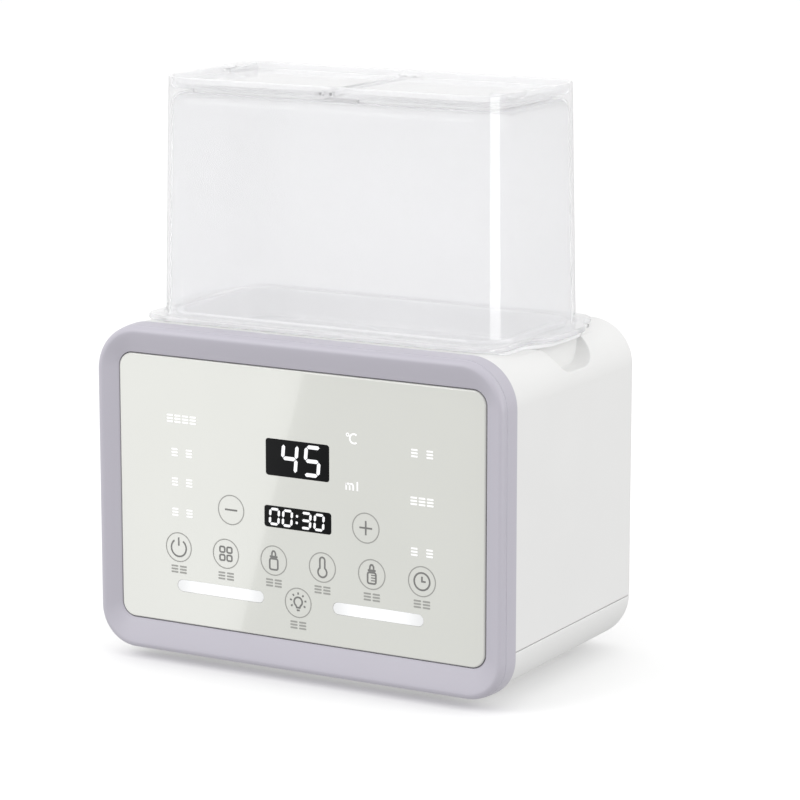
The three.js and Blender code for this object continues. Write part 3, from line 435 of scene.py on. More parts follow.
def front_ring():
    """Lavender ring: a tapering flank, a fine groove, a rolled front and a slope in to the panel."""
    width, height = RING_HIGH[0] - RING_LOW[0], RING_HIGH[2] - RING_LOW[2]
    ring_z = (RING_LOW[2] + RING_HIGH[2]) / 2
    open_width = PANEL_HIGH[0] - PANEL_LOW[0] + 2 * OPENING_GAP
    open_height = PANEL_HIGH[2] - PANEL_LOW[2] + 2 * OPENING_GAP
    open_corner = PANEL_CORNER + OPENING_GAP
    low_corner, high_corner = 17.0, 20.0
    front, back = RING_LOW[1], SEAM_Y - RING_GAP

    def section(inset, y):
        low, high = low_corner - inset, high_corner - inset
        outline = rounded(width - 2 * inset, height - 2 * inset, (low, high, high, low))
        return [(x, y, z + ring_z) for x, z in outline()]

    def opening(grow, y):
        outline = rounded(open_width + 2 * grow, open_height + 2 * grow, open_corner + grow)
        return [(x, y, z + PANEL_CENTRE_Z) for x, z in outline()]

    def between(share, y):
        outer, inner = section(crest_inset, y), opening(0, y)
        return [tuple(a + (b - a) * share for a, b in zip(p, q)) for p, q in zip(outer, inner)]

    flank_inset, crest_inset = 0.45, 3.1
    rear_round = 0.3
    groove_y = front + 3.1
    groove_width = 0.5
    steps = 8
    rows = [section(rear_round, back), section(0, back - rear_round)]
    for i in range(1, steps + 1):
        share = i / steps
        y = back - rear_round + (groove_y - back + rear_round) * share
        rows.append(section(flank_inset * share ** 2.2, y))
    roll_start, roll_inset = groove_y - groove_width, flank_inset + 0.1
    rows.append(section(flank_inset + 0.3, groove_y - groove_width / 2))
    rows.append(section(roll_inset, roll_start))
    for i in range(1, steps + 1):
        angle = math.pi / 2 * i / steps
        inset = roll_inset + (crest_inset - roll_inset) * (1 - math.cos(angle))
        rows.append(section(inset, roll_start - (roll_start - front) * math.sin(angle)))
    lip = PANEL_Y + 0.45
    for i in range(1, steps + 1):
        share = i / steps
        rows.append(between(share * 0.97, front + (share ** 1.1) * (lip - front)))
    rows.append(between(0.99, lip + 0.12))
    rows.append(opening(0, lip + 0.35))
    seat, seat_y = 3.4, PANEL_HIGH[1] + RING_GAP
    rows.append(opening(0, seat_y))
    rows.append(opening(-seat, seat_y))
    rows.append(opening(-seat, seat_y + 2))
    tongue, tongue_thick = CASE_WALL + 1.3, 2
    rows.append(section(tongue + tongue_thick, back + 0.3))
    rows.append(section(tongue + tongue_thick, RING_HIGH[1]))
    rows.append(section(tongue, RING_HIGH[1]))
    rows.append(section(tongue, back))
    ring = skin(rows, closed=True)
    finish_piece(ring, "front_ring", LAVENDER, "root", "lavender_plastic", "front_bezel", sharp=30)


# ---------- control panel, its windows and light bars ----------

LIGHT_BARS = ("night_light_left", "night_light_right")
WINDOWS = ("temperature_window", "timer_window")
WINDOW_CORNER = 1.2


def face_outline(node, corner, grow=0.0):
    """Outline of a node's front face, and the placing of a sweep that runs through its middle."""
    low, high = span(node)
    outline = rounded(high[0] - low[0] + 2 * grow, high[2] - low[2] + 2 * grow, corner + grow, 8)
    return outline, upright((low[0] + high[0]) / 2, (low[2] + high[2]) / 2)


def control_panel():
    outline = rounded(PANEL_HIGH[0] - PANEL_LOW[0], PANEL_HIGH[2] - PANEL_LOW[2], PANEL_CORNER)
    profile = plate(PANEL_Y, PANEL_HIGH[1], 0.7, 0.2)
    sheet = sweep(outline, profile, upright(0, PANEL_CENTRE_Z))
    faces = [face_outline(node, WINDOW_CORNER, 0.08) for node in WINDOWS]
    faces += [light_outline(node, 0.06) for node in LIGHT_BARS]
    through = [(0, -70), (0, -50)]
    tools = [sweep(outline, through, place) for outline, place in faces]
    finish_piece(cut(sheet, *tools), "panel_face", IVORY, "root", "ivory_panel", "control_panel")


def light_outline(node, grow=0.0):
    """Pill shaped face of a light bar. Its foot behind the panel is 1 mm larger all round."""
    low, high = span(node)
    foot = 1
    length = high[0] - low[0] - 2 * foot + 2 * grow
    height = high[2] - low[2] - 2 * foot + 2 * grow
    place = upright((low[0] + high[0]) / 2, (low[2] + high[2]) / 2)
    return rounded(length, height, height / 2 - 0.01, 12), place


def windows_and_lights():
    for node in WINDOWS:
        outline, place = face_outline(node, WINDOW_CORNER)
        low, high = span(node)
        glass = sweep(outline, plate(low[1], high[1], 0.08, 0.0), place)
        finish_piece(glass, f"{node}_glass", SMOKED, "root", "smoked_window", node)
    for node in LIGHT_BARS:
        outline, place = light_outline(node)
        low, high = span(node)
        shelf = PANEL_HIGH[1] + RING_GAP
        profile = [(0.25, low[1]), (0.08, low[1] + 0.06), (0, low[1] + 0.25), (0, shelf),
                   (-1, shelf), (-1, high[1] - 0.4), (-0.6, high[1])]
        bar = sweep(outline, profile, place)
        finish_piece(bar, f"{node}_guide", LIGHT_GUIDE, "root", "light_guide", node)


# ---------- marks printed on the panel ----------

PRINT_FRONT = PANEL_Y - 0.05        # ink stands a little off the panel
PRINT_BACK = PANEL_Y + 0.1          # and its solid reaches a little into it
LINE = 0.45               # width of a drawn line
BOLD = 0.72               # and of a heavier one


def add_prism(bm, points):
    """Flat printed patch with this outline, in X and Z."""
    add_rows(bm, [[(x, PRINT_BACK, z) for x, z in points], [(x, PRINT_FRONT, z) for x, z in points]])


def add_line(bm, points, width=LINE, closed=False):
    """Printed line of constant width along points in X and Z, mitred at its corners."""
    count = len(points)
    left, right = [], []
    for i, (x, z) in enumerate(points):
        before = points[i - 1] if closed or i else None
        after = points[(i + 1) % count] if closed or i < count - 1 else None
        along_in = unit(before, (x, z)) if before else unit((x, z), after)
        along_out = unit((x, z), after) if after else along_in
        mid_x, mid_z = along_in[0] + along_out[0], along_in[1] + along_out[1]
        size = math.hypot(mid_x, mid_z)
        normal = (-mid_z / size, mid_x / size)
        stretch = width / 2 / max(normal[0] * -along_out[1] + normal[1] * along_out[0], 0.5)
        left.append((x + normal[0] * stretch, z + normal[1] * stretch))
        right.append((x - normal[0] * stretch, z - normal[1] * stretch))
    rows = [[(lx, PRINT_BACK, lz), (lx, PRINT_FRONT, lz), (rx, PRINT_FRONT, rz), (rx, PRINT_BACK, rz)]
            for (lx, lz), (rx, rz) in zip(left, right)]
    add_rows(bm, rows, closed)


def unit(a, b):
    dx, dz = b[0] - a[0], b[1] - a[1]
    size = math.hypot(dx, dz)
    return dx / size, dz / size


def arc(x, z, radius, start=0, stop=360, steps=40):
    """Points round an arc, in degrees; a full turn leaves out the repeated last point."""
    whole = abs(stop - start) >= 360
    last = steps if whole else steps + 1
    turn = [math.radians(start + (stop - start) * i / steps) for i in range(last)]
    return [(x + radius * math.cos(a), z + radius * math.sin(a)) for a in turn]


def rounded_patch(width, height, corner, x, z):
    return [(u + x, v + z) for u, v in rounded(width, height, corner, 4)()]


def mark_power(bm, x, z):
    add_line(bm, arc(x, z - 0.3, 3.6, 125, 415, 36), BOLD)
    add_line(bm, [(x, z + 4.1), (x, z + 0.6)], BOLD)


def mark_squares(bm, x, z):
    for dx in (-1.7, 1.7):
        for dz in (-1.7, 1.7):
            add_line(bm, rounded_patch(2.3, 2.3, 0.6, x + dx, z + dz), BOLD, closed=True)


def mark_bottle(bm, x, z):
    add_line(bm, [(x - 0.9, z + 2.1), (x - 0.8, z + 3.2), (x - 0.35, z + 3.9), (x + 0.35, z + 3.9),
                  (x + 0.8, z + 3.2), (x + 0.9, z + 2.1)], BOLD)
    add_prism(bm, rounded_patch(3.6, 0.9, 0.25, x, z + 1.6))
    add_line(bm, rounded_patch(3.8, 4.5, 0.8, x, z - 1.5), BOLD, closed=True)


def mark_measured_bottle(bm, x, z):
    mark_bottle(bm, x, z)
    for step in range(3):
        add_line(bm, [(x - 0.3, z - 0.3 - 1.1 * step), (x + 1.6, z - 0.3 - 1.1 * step)], LINE)


def mark_thermometer(bm, x, z):
    """Stem over a bulb, drawn as one closed line."""
    stem, bulb = 1.15, 2.05
    start = 90 + math.degrees(math.asin(stem / bulb))
    around = arc(x, z - 2.0, bulb, start, start + 360 - 2 * (start - 90), 24)
    top = arc(x, z + 3.0, stem, 0, 180, 10)
    add_line(bm, around + top, BOLD, closed=True)


def mark_clock(bm, x, z):
    add_line(bm, arc(x, z, 3.5), BOLD, closed=True)
    add_line(bm, [(x, z + 2.0), (x, z), (x + 1.7, z)], BOLD)


def mark_minus(bm, x, z):
    add_line(bm, [(x - 2.9, z), (x + 2.9, z)], BOLD)


def mark_plus(bm, x, z):
    mark_minus(bm, x, z)
    add_line(bm, [(x, z + 2.9), (x, z + BOLD / 2)], BOLD)
    add_line(bm, [(x, z - BOLD / 2), (x, z - 2.9)], BOLD)


def mark_bulb(bm, x, z):
    glass = arc(x, z + 0.4, 1.9, -55, 235, 28)
    foot = [(x - 0.7, z - 2.0), (x + 0.7, z - 2.0)]
    add_line(bm, glass + foot, BOLD, closed=True)
    add_line(bm, [(x - 0.7, z - 3.1), (x + 0.7, z - 3.1)], BOLD)
    for turn in range(-30, 211, 40):
        c, s = math.cos(math.radians(turn)), math.sin(math.radians(turn))
        add_line(bm, [(x + 3.0 * c, z + 0.4 + 3.0 * s), (x + 3.9 * c, z + 0.4 + 3.9 * s)], BOLD)


KEY_RING = 6.05
KEY_MARKS = {
    "power": mark_power, "function": mark_squares, "bottle_type": mark_bottle,
    "temperature": mark_thermometer, "volume": mark_measured_bottle, "timer": mark_clock,
    "night_light": mark_bulb, "minus": mark_minus, "plus": mark_plus,
}


def key_marks():
    """A symbol inside a paler ring for every key."""
    rings = bmesh.new()
    for key, draw in KEY_MARKS.items():
        x, _, z = centre(f"touch_pad_{key}")
        bm = bmesh.new()
        draw(bm, x, z)
        finish_piece(make(bm), f"mark_{key}", PRINT_GREY, "root", "ivory_panel")
        add_line(rings, arc(x, z, KEY_RING, steps=64), LINE, closed=True)
    finish_piece(make(rings), "key_rings", PRINT_PALE, "root", "ivory_panel")


def add_blank(bm, x, z, width, height):
    """Stack of three short bars where a character would be."""
    pitch = height / 3
    for i in (-1, 0, 1):
        level_z = z + i * pitch
        add_prism(bm, rounded_patch(width, pitch * 0.56, pitch * 0.2, x, level_z))


def captions():
    """Blank bars where words would be: grey under the keys, white beside the displays."""
    half_pitch, drop = 2.05, 9.3
    bm = bmesh.new()
    for key in KEY_MARKS:
        if key in ("minus", "plus"):
            continue
        x, _, z = centre(f"touch_pad_{key}")
        for side in SIDES:
            add_blank(bm, x + side * half_pitch, z - drop, 3.3, 3.8)
    finish_piece(make(bm), "key_captions", PRINT_PALE, "root", "ivory_panel")

    bm = bmesh.new()
    left, right = centre("touch_pad_power")[0] + 2.0, centre("touch_pad_timer")[0]
    top = centre("temperature_window")[2] + 10.9
    for x, z, bars in ((left, top, 4), (left, top - 14, 2), (left, top - 26.3, 2), (left, top - 39, 2),
                       (right, top - 2.3, 2), (right, top - 21.5, 3), (right, top - 42, 2)):
        pitch = 3.7 if bars > 2 else 6.9
        for i in range(bars):
            add_blank(bm, x + (i - (bars - 1) / 2) * pitch, z, 3.0, 3.9)
    finish_piece(make(bm), "mode_captions", PRINT_WHITE, "root", "ivory_panel")


def unit_marks():
    """Degree and millilitre signs beside the two displays."""
    bm = bmesh.new()
    x, _, z = centre("temperature_window")
    x += 25.2
    z += 11.4
    add_line(bm, arc(x - 1.9, z + 1.4, 0.6, steps=16), closed=True)
    add_line(bm, arc(x + 1.0, z, 1.9, 50, 310, 20), BOLD)
    z -= 19.5
    add_line(bm, [(x - 2.6, z - 1.5), (x - 2.6, z + 1.2)], BOLD)
    for step in (0, 1):
        start = x - 2.3 + step * 1.6
        add_line(bm, arc(start + 0.5, z + 0.3, 0.8, 170, 0, 8) + [(start + 1.3, z - 1.5)], BOLD)
    add_line(bm, [(x + 2.5, z - 1.5), (x + 2.5, z + 2.2)], BOLD)
    finish_piece(make(bm), "unit_marks", PRINT_WHITE, "root", "ivory_panel")


SEGMENTS = {"0": "abcdef", "3": "abcdg", "4": "bcfg", "5": "acdfg"}


def add_digit(bm, figure, x, z, width, height, stroke, lean):
    """Seven segment figure with its lower left corner at x, z."""
    half = height / 2
    gap = 0.2                 # left between segments where they meet
    ends = {
        "a": ((0, height), (width, height)), "b": ((width, height), (width, half)),
        "c": ((width, half), (width, 0)), "d": ((0, 0), (width, 0)),
        "e": ((0, half), (0, 0)), "f": ((0, height), (0, half)), "g": ((0, half), (width, half)),
    }
    for segment in SEGMENTS[figure]:
        start, stop = ends[segment]
        dx, dz = unit(start, stop)
        nx, nz = -dz * stroke / 2, dx * stroke / 2
        near, far = gap + stroke / 2, gap
        length = math.hypot(stop[0] - start[0], stop[1] - start[1])
        outline = []
        for along, across in ((far, 0), (near, 1), (length - near, 1), (length - far, 0),
                              (length - near, -1), (near, -1)):
            u = start[0] + dx * along + nx * across
            v = start[1] + dz * along + nz * across
            outline.append((x + u + lean * v, z + v))
        add_prism(bm, outline)


def digits():
    """Lit figures on both displays."""
    bm = bmesh.new()
    low, high = span("temperature_window")
    tall, wide, stroke, lean = (high[2] - low[2]) * 0.76, 6.3, 1.55, 0.09
    base = (low[2] + high[2]) / 2 - tall / 2 + 0.1
    for figure, x in (("4", low[0] + 7.4), ("5", low[0] + 18.0)):
        add_digit(bm, figure, x, base, wide, tall, stroke, lean)
    finish_piece(make(bm), "temperature_digits", DIGITS, "root", "light_guide")

    bm = bmesh.new()
    low, high = span("timer_window")
    tall, wide, stroke, lean = (high[2] - low[2]) * 0.7, 4.0, 1.05, 0.06
    base = (low[2] + high[2]) / 2 - tall / 2
    left, pitch, colon_room = low[0] + 2.5, 6.1, 2.6
    for i, figure in enumerate("0030"):
        x = left + i * pitch + (colon_room if i > 1 else 0)
        add_digit(bm, figure, x, base, wide, tall, stroke, lean)
    for share in (0.28, 0.72):
        dot_x = left + 2 * pitch + 0.35 + lean * tall * share
        add_prism(bm, rounded_patch(1.0, 1.0, 0.3, dot_x, base + tall * share))
    finish_piece(make(bm), "timer_digits", DIGITS, "root", "light_guide")


# ---------- casing ----------

def casing(inset, front_y, steps=10):
    """The casing's outside, or its inside when inset by the wall, with rounded rear edges."""
    outline = rounded(CASE_WIDTH, CASE_HEIGHT, CASE_CORNER)
    rear = SHELL_HIGH[1] - inset
    fillet = REAR_FILLET - inset
    profile = [(inset, front_y)]
    for i in range(steps + 1):
        angle = math.pi / 2 * i / steps
        profile.append((inset + fillet * (1 - math.cos(angle)),
                        rear - fillet + fillet * math.sin(angle)))
    return sweep(outline, profile, upright(0, CASE_Z))


GRIP_Y = 6
SCOOP_FLOOR = 127.3
SCOOP_INNER_X = 83
SCOOP_LEAN = 2.4          # how much further out the scoop's inner wall is at its floor


def scoop(side, grow, inner):
    """Cutter for a finger scoop: a flat floor with flared, rounded ends."""
    floor, top = SCOOP_FLOOR - grow, CASE_TOP + 5
    half_floor, half_top, bend = 12 + grow, 22 + grow, 6
    slope = (half_top - half_floor) / (top - floor)
    points = [(-half_top, top)]
    for end in (-1, 1):
        start = (end * (half_floor + slope * bend), floor + bend)
        middle = (end * half_floor, floor)
        stop = (end * (half_floor - bend), floor)
        curve = []
        for i in range(11):
            t = i / 10
            curve.append(tuple(a * (1 - t) ** 2 + b * 2 * t * (1 - t) + c * t * t
                               for a, b, c in zip(start, middle, stop)))
        points += curve if end < 0 else curve[::-1]
    points.append((half_top, top))
    rows = []
    for reach in (0, CASE_WIDTH):
        rows.append([(side * (inner + reach + SCOOP_LEAN * (CASE_TOP - z) / (CASE_TOP - SCOOP_FLOOR)),
                      y + GRIP_Y, z) for y, z in points])
    return skin(rows)


def slab(z0, z1):
    """Cutter wider than the whole object, between two heights."""
    return block(-110, 110, -80, 80, z0, z1)


def housing():
    """Upper casing: open below, with the tank's well and the basket's recess in its top."""
    wall, above_top, ledge_floor, well_floor = 2, CASE_TOP + 8, 135, 130
    here = level(0, WELL_Y)
    ledge = sweep(rounded(178, 92.2, 16), [(0, ledge_floor), (0, CASE_TOP + 5)], here)
    scoop_walls = [scoop(side, wall, SCOOP_INNER_X - wall) for side in SIDES]
    cavity = cut(casing(CASE_WALL, SEAM_Y - 5), ledge, *scoop_walls)
    recess_floor = BASKET_HIGH[2] - 5.4
    lead_in = [(-0.2, CASE_TOP - 0.25), (-0.75, CASE_TOP + 0.05), (-0.75, above_top)]
    recess = sweep(gripped(*BASKET_RECESS), [(0, recess_floor), (0, CASE_TOP - 0.7)] + lead_in, here)
    tank_well = sweep(rounded(155.6, 75.2, 17), [(0, well_floor), (0, above_top)], here)
    inlet_x, _, inlet_z = centre("inlet_socket")
    through_rear = [(0, 50), (0, 70)]
    inlet = sweep(rounded(21, 13, 5.3, 8), through_rear, upright(inlet_x, inlet_z))
    scoops = [scoop(side, 0, SCOOP_INNER_X) for side in SIDES]
    shell = cut(casing(0, SEAM_Y), cavity, recess, tank_well, *scoops, slab(-5, BASE_SEAM_Z), inlet)
    soften(shell, 0.45)
    finish_piece(shell, "housing", WHITE, "root", "white_plastic", "housing_shell")


def posts(nodes, radius, top):
    """Upright round tools of one size at the middles of some nodes."""
    places = [centre(node) for node in nodes]
    return [turned([(radius, 0), (radius, top)], x, y) for x, y, _ in places]


def base():
    """Base tray with screw columns, foot holes and vents."""
    cavity = cut(casing(CASE_WALL, SEAM_Y - 5), *posts(BASE_SCREWS, 5.4, BASE_HIGH[2]))
    holes = posts(BASE_SCREWS, 4, 12) + posts(BASE_SCREWS, 2, 30) + posts(FEET, 3.1, 14)
    vent_pitch, vent_y = 9, 8
    vents = [sweep(rounded(3.2, 26, 1.5, 6), [(0, 0), (0, 14)], level(i * vent_pitch, vent_y))
             for i in (-2, -1, 0, 1, 2)]
    tray = cut(casing(0, SEAM_Y), cavity, slab(BASE_SEAM_Z - 0.3, 300), *holes, *vents)
    soften(tray, 0.35)
    finish_piece(tray, "base_tray", WHITE, "root", "white_plastic", "base_cover")


def feet():
    for node in FEET:
        x, y, _ = centre(node)
        profile = [(3.0, 0.5), (5.2, 0.5), (5.6, 0.1), (6.2, 0), (7.2, 0), (7.75, 0.25), (8, 0.8),
                   (8, 4.2), (7.7, 4.9), (6.7, 5.7), (2.8, 5.7), (2.8, 8.8), (3.9, 9.3), (2.2, 11.5)]
        pad = turned(profile, x, y)
        finish_piece(pad, f"{node}_pad", RUBBER, "root", "foot_rubber", node)


def screws_below():
    """Pan-head screws with a cross recess, seen up their holes in the base."""
    for node in BASE_SCREWS:
        low, high = span(node)
        x, y, _ = centre(node)
        head, thread = low[2], high[2]
        profile = [(1.6, head), (2.5, head + 0.25), (2.95, head + 0.8), (3, head + 1.6),
                   (1.2, head + 1.6)]
        turns = 24
        for i in range(turns):
            z = head + 2 + (thread - head - 4) * i / turns
            profile += [(1.0, z), (1.2, z + 0.45)]
        profile += [(0.9, thread - 1), (0.1, thread)]
        screw = turned(profile, x, y, 24)
        slots = [block(x - a, x + a, y - b, y + b, head - 1, head + 1)
                 for a, b in ((1.8, 0.3), (0.3, 1.8))]
        finish_piece(cut(screw, *slots), f"{node}_cross", STEEL, "root", "steel", node)


def inlet():
    low, high = span("inlet_socket")
    x, _, z = centre("inlet_socket")
    mouth = 13
    outline = rounded(20.4, 12.4, 5, 8)
    body = sweep(outline, plate(low[1], high[1], 0.3, 0.8), upright(x, z))
    flange = sweep(rounded(26, 18, 4, 8), plate(high[1] - 4, high[1] - 2.2, 0.2, 0.3), upright(x, z))
    hollow = sweep(rounded(16, 8.6, 4.2, 8), [(0, high[1] - mouth + 0.6), (0, high[1] - 0.7),
                                             (-0.5, high[1] + 0.02), (-0.5, high[1] + 3)], upright(x, z))
    socket = cut(join(body, flange), hollow)
    finish_piece(socket, "inlet_collar", BLACK, "root", "black_plastic", "inlet_socket")
    for node in ("inlet_pin_1", "inlet_pin_2"):
        low, high = span(node)
        px, _, pz = centre(node)
        radius = (high[0] - low[0]) / 2
        pin = sweep(circle(radius, 24), plate(low[1], high[1], 0.2, 0.8), upright(px, pz))
        finish_piece(pin, f"{node}_round", STEEL, "root", "steel", node)


# ---------- water tank and heater ----------

def water_tank():
    """Tapered tank with a rim above and a hole in its floor for the heating plate."""
    here = level(0, WELL_Y)
    outline = rounded(TANK_HIGH[0] - TANK_LOW[0] - 3.4, 77.2, 18.6)
    wall, top, bottom = 1.6, TANK_HIGH[2], TANK_LOW[2] + 3.8
    taper = 2.6
    body = sweep(outline, edge(bottom, 3, -1, taper, opening=True) + [(0, top)], here)
    mouth = [(wall, top - 0.6), (wall - 0.5, top + 0.1), (wall - 0.5, top + 5)]
    hollow = sweep(outline, edge(bottom + wall, 2.4, -1, taper + wall, opening=True) + mouth, here)
    rim = sweep(rounded(161, 79.4, 19.7), plate(top - 1.8, top, 0.3, 0.3), here)
    opening = sweep(rounded(104, 44, 18), [(0, bottom - 5), (0, bottom + 6)], here)
    tank = cut(join(body, rim), hollow, opening)
    finish_piece(tank, "tank_shell", TANK_PLASTIC, "root", "tank_plastic", "water_tank")


def heating_dish():
    """Steel plate with a raised rim round a shallow dish."""
    low, high = span("heating_plate")
    outline = rounded(high[0] - low[0], high[1] - low[1], 22)
    profile = edge(low[2], 0.3, -1, 0, opening=True) + edge(high[2], 0.5, 1) + [
        (9.4, high[2]), (10.2, high[2] - 0.1), (11.4, high[2] - 0.7), (12.4, high[2] - 0.8)]
    dish = sweep(outline, profile, level(0, WELL_Y))
    finish_piece(dish, "heating_dish", STEEL, "root", "steel", "heating_plate")


# ---------- basket ----------

WELL_X = 37


def cup_tool(side, grow, low, high, fillet):
    """Tapered round-cornered cup for one bottle, or its hollow when it isn't grown by the wall."""
    outline = rounded(66 + 2 * grow, 64 + 2 * grow, 24 + grow)
    taper = 2
    profile = edge(low, fillet, -1, taper, opening=True, steps=6)
    return sweep(outline, profile + high, level(side * WELL_X, WELL_Y))


def basket():
    """Flange with lift tabs, a bead, a shallow tray and two slotted cups."""
    bead_top, bottom = BASKET_HIGH[2], BASKET_LOW[2]
    flange_top = bead_top - 3
    flange_bottom = flange_top - 2.1
    wall = 1.8
    tray_floor = 131
    here = level(0, WELL_Y)
    flange = sweep(gripped(*BASKET_FLANGE), plate(flange_bottom, flange_top, 0.5, 0.8), here)
    bead = sweep(rounded(155.5, 71.2, 13.5), plate(flange_top - 1, bead_top, 0, 1.2), here)
    tray = sweep(rounded(152.6, 72, 15.5), plate(tray_floor - wall, flange_top - 0.5, 2, 0), here)
    cups = [cup_tool(side, wall, bottom, [(0, tray_floor - 0.5)], 5) for side in SIDES]
    mouth = [(0, bead_top - 1), (-0.3, bead_top - 0.4), (-1, bead_top + 0.02), (-1, bead_top + 9)]
    tray_hollow = sweep(rounded(149, 67.4, 13), edge(tray_floor, 1.6, -1, 0, opening=True) + mouth, here)
    flare = [(0, tray_floor - 1.4), (-0.3, tray_floor - 0.5), (-1.3, tray_floor + 0.05),
             (-1.3, tray_floor + 1)]
    hollows = [cup_tool(side, 0, bottom + wall, flare, 4) for side in SIDES]
    slot_pitch = 9
    slots = [sweep(rounded(4, 30, 1.9, 6), [(0, bottom - 5), (0, bottom + 5)],
                   level(side * WELL_X + i * slot_pitch, WELL_Y))
             for side in SIDES for i in (-2, -1, 0, 1, 2)]
    body = cut(join(flange, bead, tray, *cups), tray_hollow, *hollows, *slots)
    finish_piece(body, "basket_body", BASKET_PLASTIC_PAINTED_GLOW, "basket", "basket_plastic", "bottle_basket")


# ---------- lid ----------

LID_WALL = 1.8
FLANGE_THICK = 2.2
LID_RIM = LID_HIGH[2]
DECK_TOP = LID_RIM - 4.8
DECK_THICK = 1.8
TAB_Y = 20
TAB_WIDTH = 15
BOTTOM_WIDTH, BOTTOM_DEPTH = 162.4, 78.1
LID_CORNER = 16
LID_TAPER = 2.2           # how much further in the wall is at the rim than at the flange


def lid_inset(z):
    """How far the lid's wall has drawn in at height z."""
    foot = LID_LOW[2] + FLANGE_THICK
    return LID_TAPER * (z - foot) / (LID_RIM - foot)


def lid():
    """Tall hollow cover with a flange, a sunken deck and a mouth for each flap."""
    low = LID_LOW[2]
    outline = rounded(BOTTOM_WIDTH, BOTTOM_DEPTH, LID_CORNER)
    here = level(0, WELL_Y)
    wall = sweep(outline, [(lid_inset(low), low)] + edge(LID_RIM, 0.6, 1, lid_inset(LID_RIM)), here)
    flange_top = low + FLANGE_THICK
    flange = sweep(gripped(*LID_FLANGE), plate(low, flange_top, 0.5, 0.9), here)
    foot = 1.6
    curve = [(-foot * (1 - math.sin(a)), flange_top + foot * (1 - math.cos(a)))
             for a in (math.pi / 8, math.pi / 4, 3 * math.pi / 8, math.pi / 2)]
    skirt = sweep(outline, [(-foot, low + 1), (-foot, flange_top - 0.05)] + curve, here)

    under_deck = DECK_TOP - DECK_THICK
    mouth_inset = LID_WALL + lid_inset(low)
    chamber = sweep(outline, [(mouth_inset - 0.5, low - 5), (mouth_inset - 0.5, low - 0.05),
                              (mouth_inset, low + 0.6)]
                    + edge(under_deck, 5, 1, LID_WALL + lid_inset(under_deck), steps=8), here)
    rim_in = LID_WALL + lid_inset(LID_RIM)
    recess = sweep(outline, edge(DECK_TOP, 1.2, -1, rim_in + 0.1, opening=True)
                   + [(rim_in, LID_RIM - 0.6), (rim_in - 0.2, LID_RIM - 0.2),
                      (rim_in - 0.6, LID_RIM + 0.02), (rim_in - 0.6, LID_RIM + 5)], here)
    mouth_profile = [(-0.6, DECK_TOP - 6), (-0.6, under_deck - 0.02), (0, under_deck + 0.5),
                     (0, DECK_TOP - 0.5), (-0.6, DECK_TOP + 0.02), (-0.6, DECK_TOP + 1)]
    mouth_x = 39
    mouths = [sweep(rounded(62, 58, 10), mouth_profile, level(side * mouth_x, WELL_Y))
              for side in SIDES]
    notches = []
    for side in SIDES:
        y = WELL_Y - side * TAB_Y
        half = TAB_WIDTH / 2 + 0.5
        across_wall = sorted((side * 70, side * 85))
        notches.append(block(*across_wall, y - half, y + half, LID_RIM - 2.3, LID_RIM + 6))
    body = cut(join(wall, flange, skirt), chamber, recess, *mouths, *notches)
    body = join(body, *hinge_lugs())
    finish_piece(body, "lid_body", LID_PLASTIC_PAINTED_GLOW, "lid", "lid_plastic", "steam_lid")


HINGE_X = 2.4
HINGE_Z = 236.2
BARREL = 1.2              # radius
BARREL_REACH = 32.4       # from the middle of a flap's barrel to its end
PIN_REACH = 34.3
FLAP_LOW = 235
FLAP_THICK = 1.8


def hinge_lugs():
    """Ears on the deck that hold both flaps' pins."""
    lug_inner, lug_outer, bore_depth = 32.8, 35.8, 1.5
    lugs = []
    for end in SIDES:
        inner, outer = WELL_Y + end * lug_inner, WELL_Y + end * lug_outer
        lug = block(-5, 5, *sorted((inner, outer)), DECK_TOP - 0.6, HINGE_Z + 1.6, 0.35)
        blind = [(0, inner - bore_depth * end), (0, inner + bore_depth * end)]
        bores = [sweep(circle(1.1, 24), blind, upright(side * HINGE_X, HINGE_Z)) for side in SIDES]
        lugs.append(cut(lug, *bores))
    return lugs


def flaps():
    """Two flat flaps, each with a barrel and pins at the middle and a finger tab at its far end."""
    half, reach = 34.1, 76.1
    inner_corner, outer_corner = 0.5, 11.5
    tab_inner, tab_floor = 69, 237.6
    for side, name in ((-1, "left"), (1, "right")):
        order = [outer_corner, outer_corner, inner_corner, inner_corner]
        if side < 0:
            order = [inner_corner, inner_corner, outer_corner, outer_corner]
        outline = rounded(reach - HINGE_X, 2 * half, order)
        middle = side * (reach + HINGE_X) / 2
        sheet = sweep(outline, plate(FLAP_LOW, FLAP_LOW + FLAP_THICK, 0.3, 0.6), level(middle, WELL_Y))
        lug_rooms = [block(side * HINGE_X - 17, side * HINGE_X + 17, y0, y1, 230, 245)
                     for y0, y1 in ((WELL_Y - 50, WELL_Y - BARREL_REACH),
                                    (WELL_Y + BARREL_REACH, WELL_Y + 50))]
        sheet = cut(sheet, *lug_rooms)
        along = upright(side * HINGE_X, HINGE_Z)
        barrel, pins = [sweep(circle(radius, sides), plate(WELL_Y - far, WELL_Y + far, 0.2, 0.2), along)
                        for radius, sides, far in ((BARREL, 32, BARREL_REACH), (0.8, 24, PIN_REACH))]
        tab_y = WELL_Y - side * TAB_Y
        y0, y1 = tab_y - TAB_WIDTH / 2, tab_y + TAB_WIDTH / 2
        root_x = sorted((side * tab_inner, side * 75))
        tab_x = sorted((side * tab_inner, side * 78.8))
        root = block(*root_x, y0, y1, FLAP_LOW + 1, tab_floor + 0.9, 0.5, 1.4)
        tab = block(*tab_x, y0, y1, tab_floor, LID_RIM + 0.35, 0.7, 2.2)
        body = join(sheet, barrel, pins, root, tab)
        finish_piece(body, f"{name}_flap", LID_PLASTIC_PAINTED_GLOW, f"{name}_flap", "lid_plastic", f"flap_{name}")


# ---------- CAD nodes that stay, with better finishes ----------

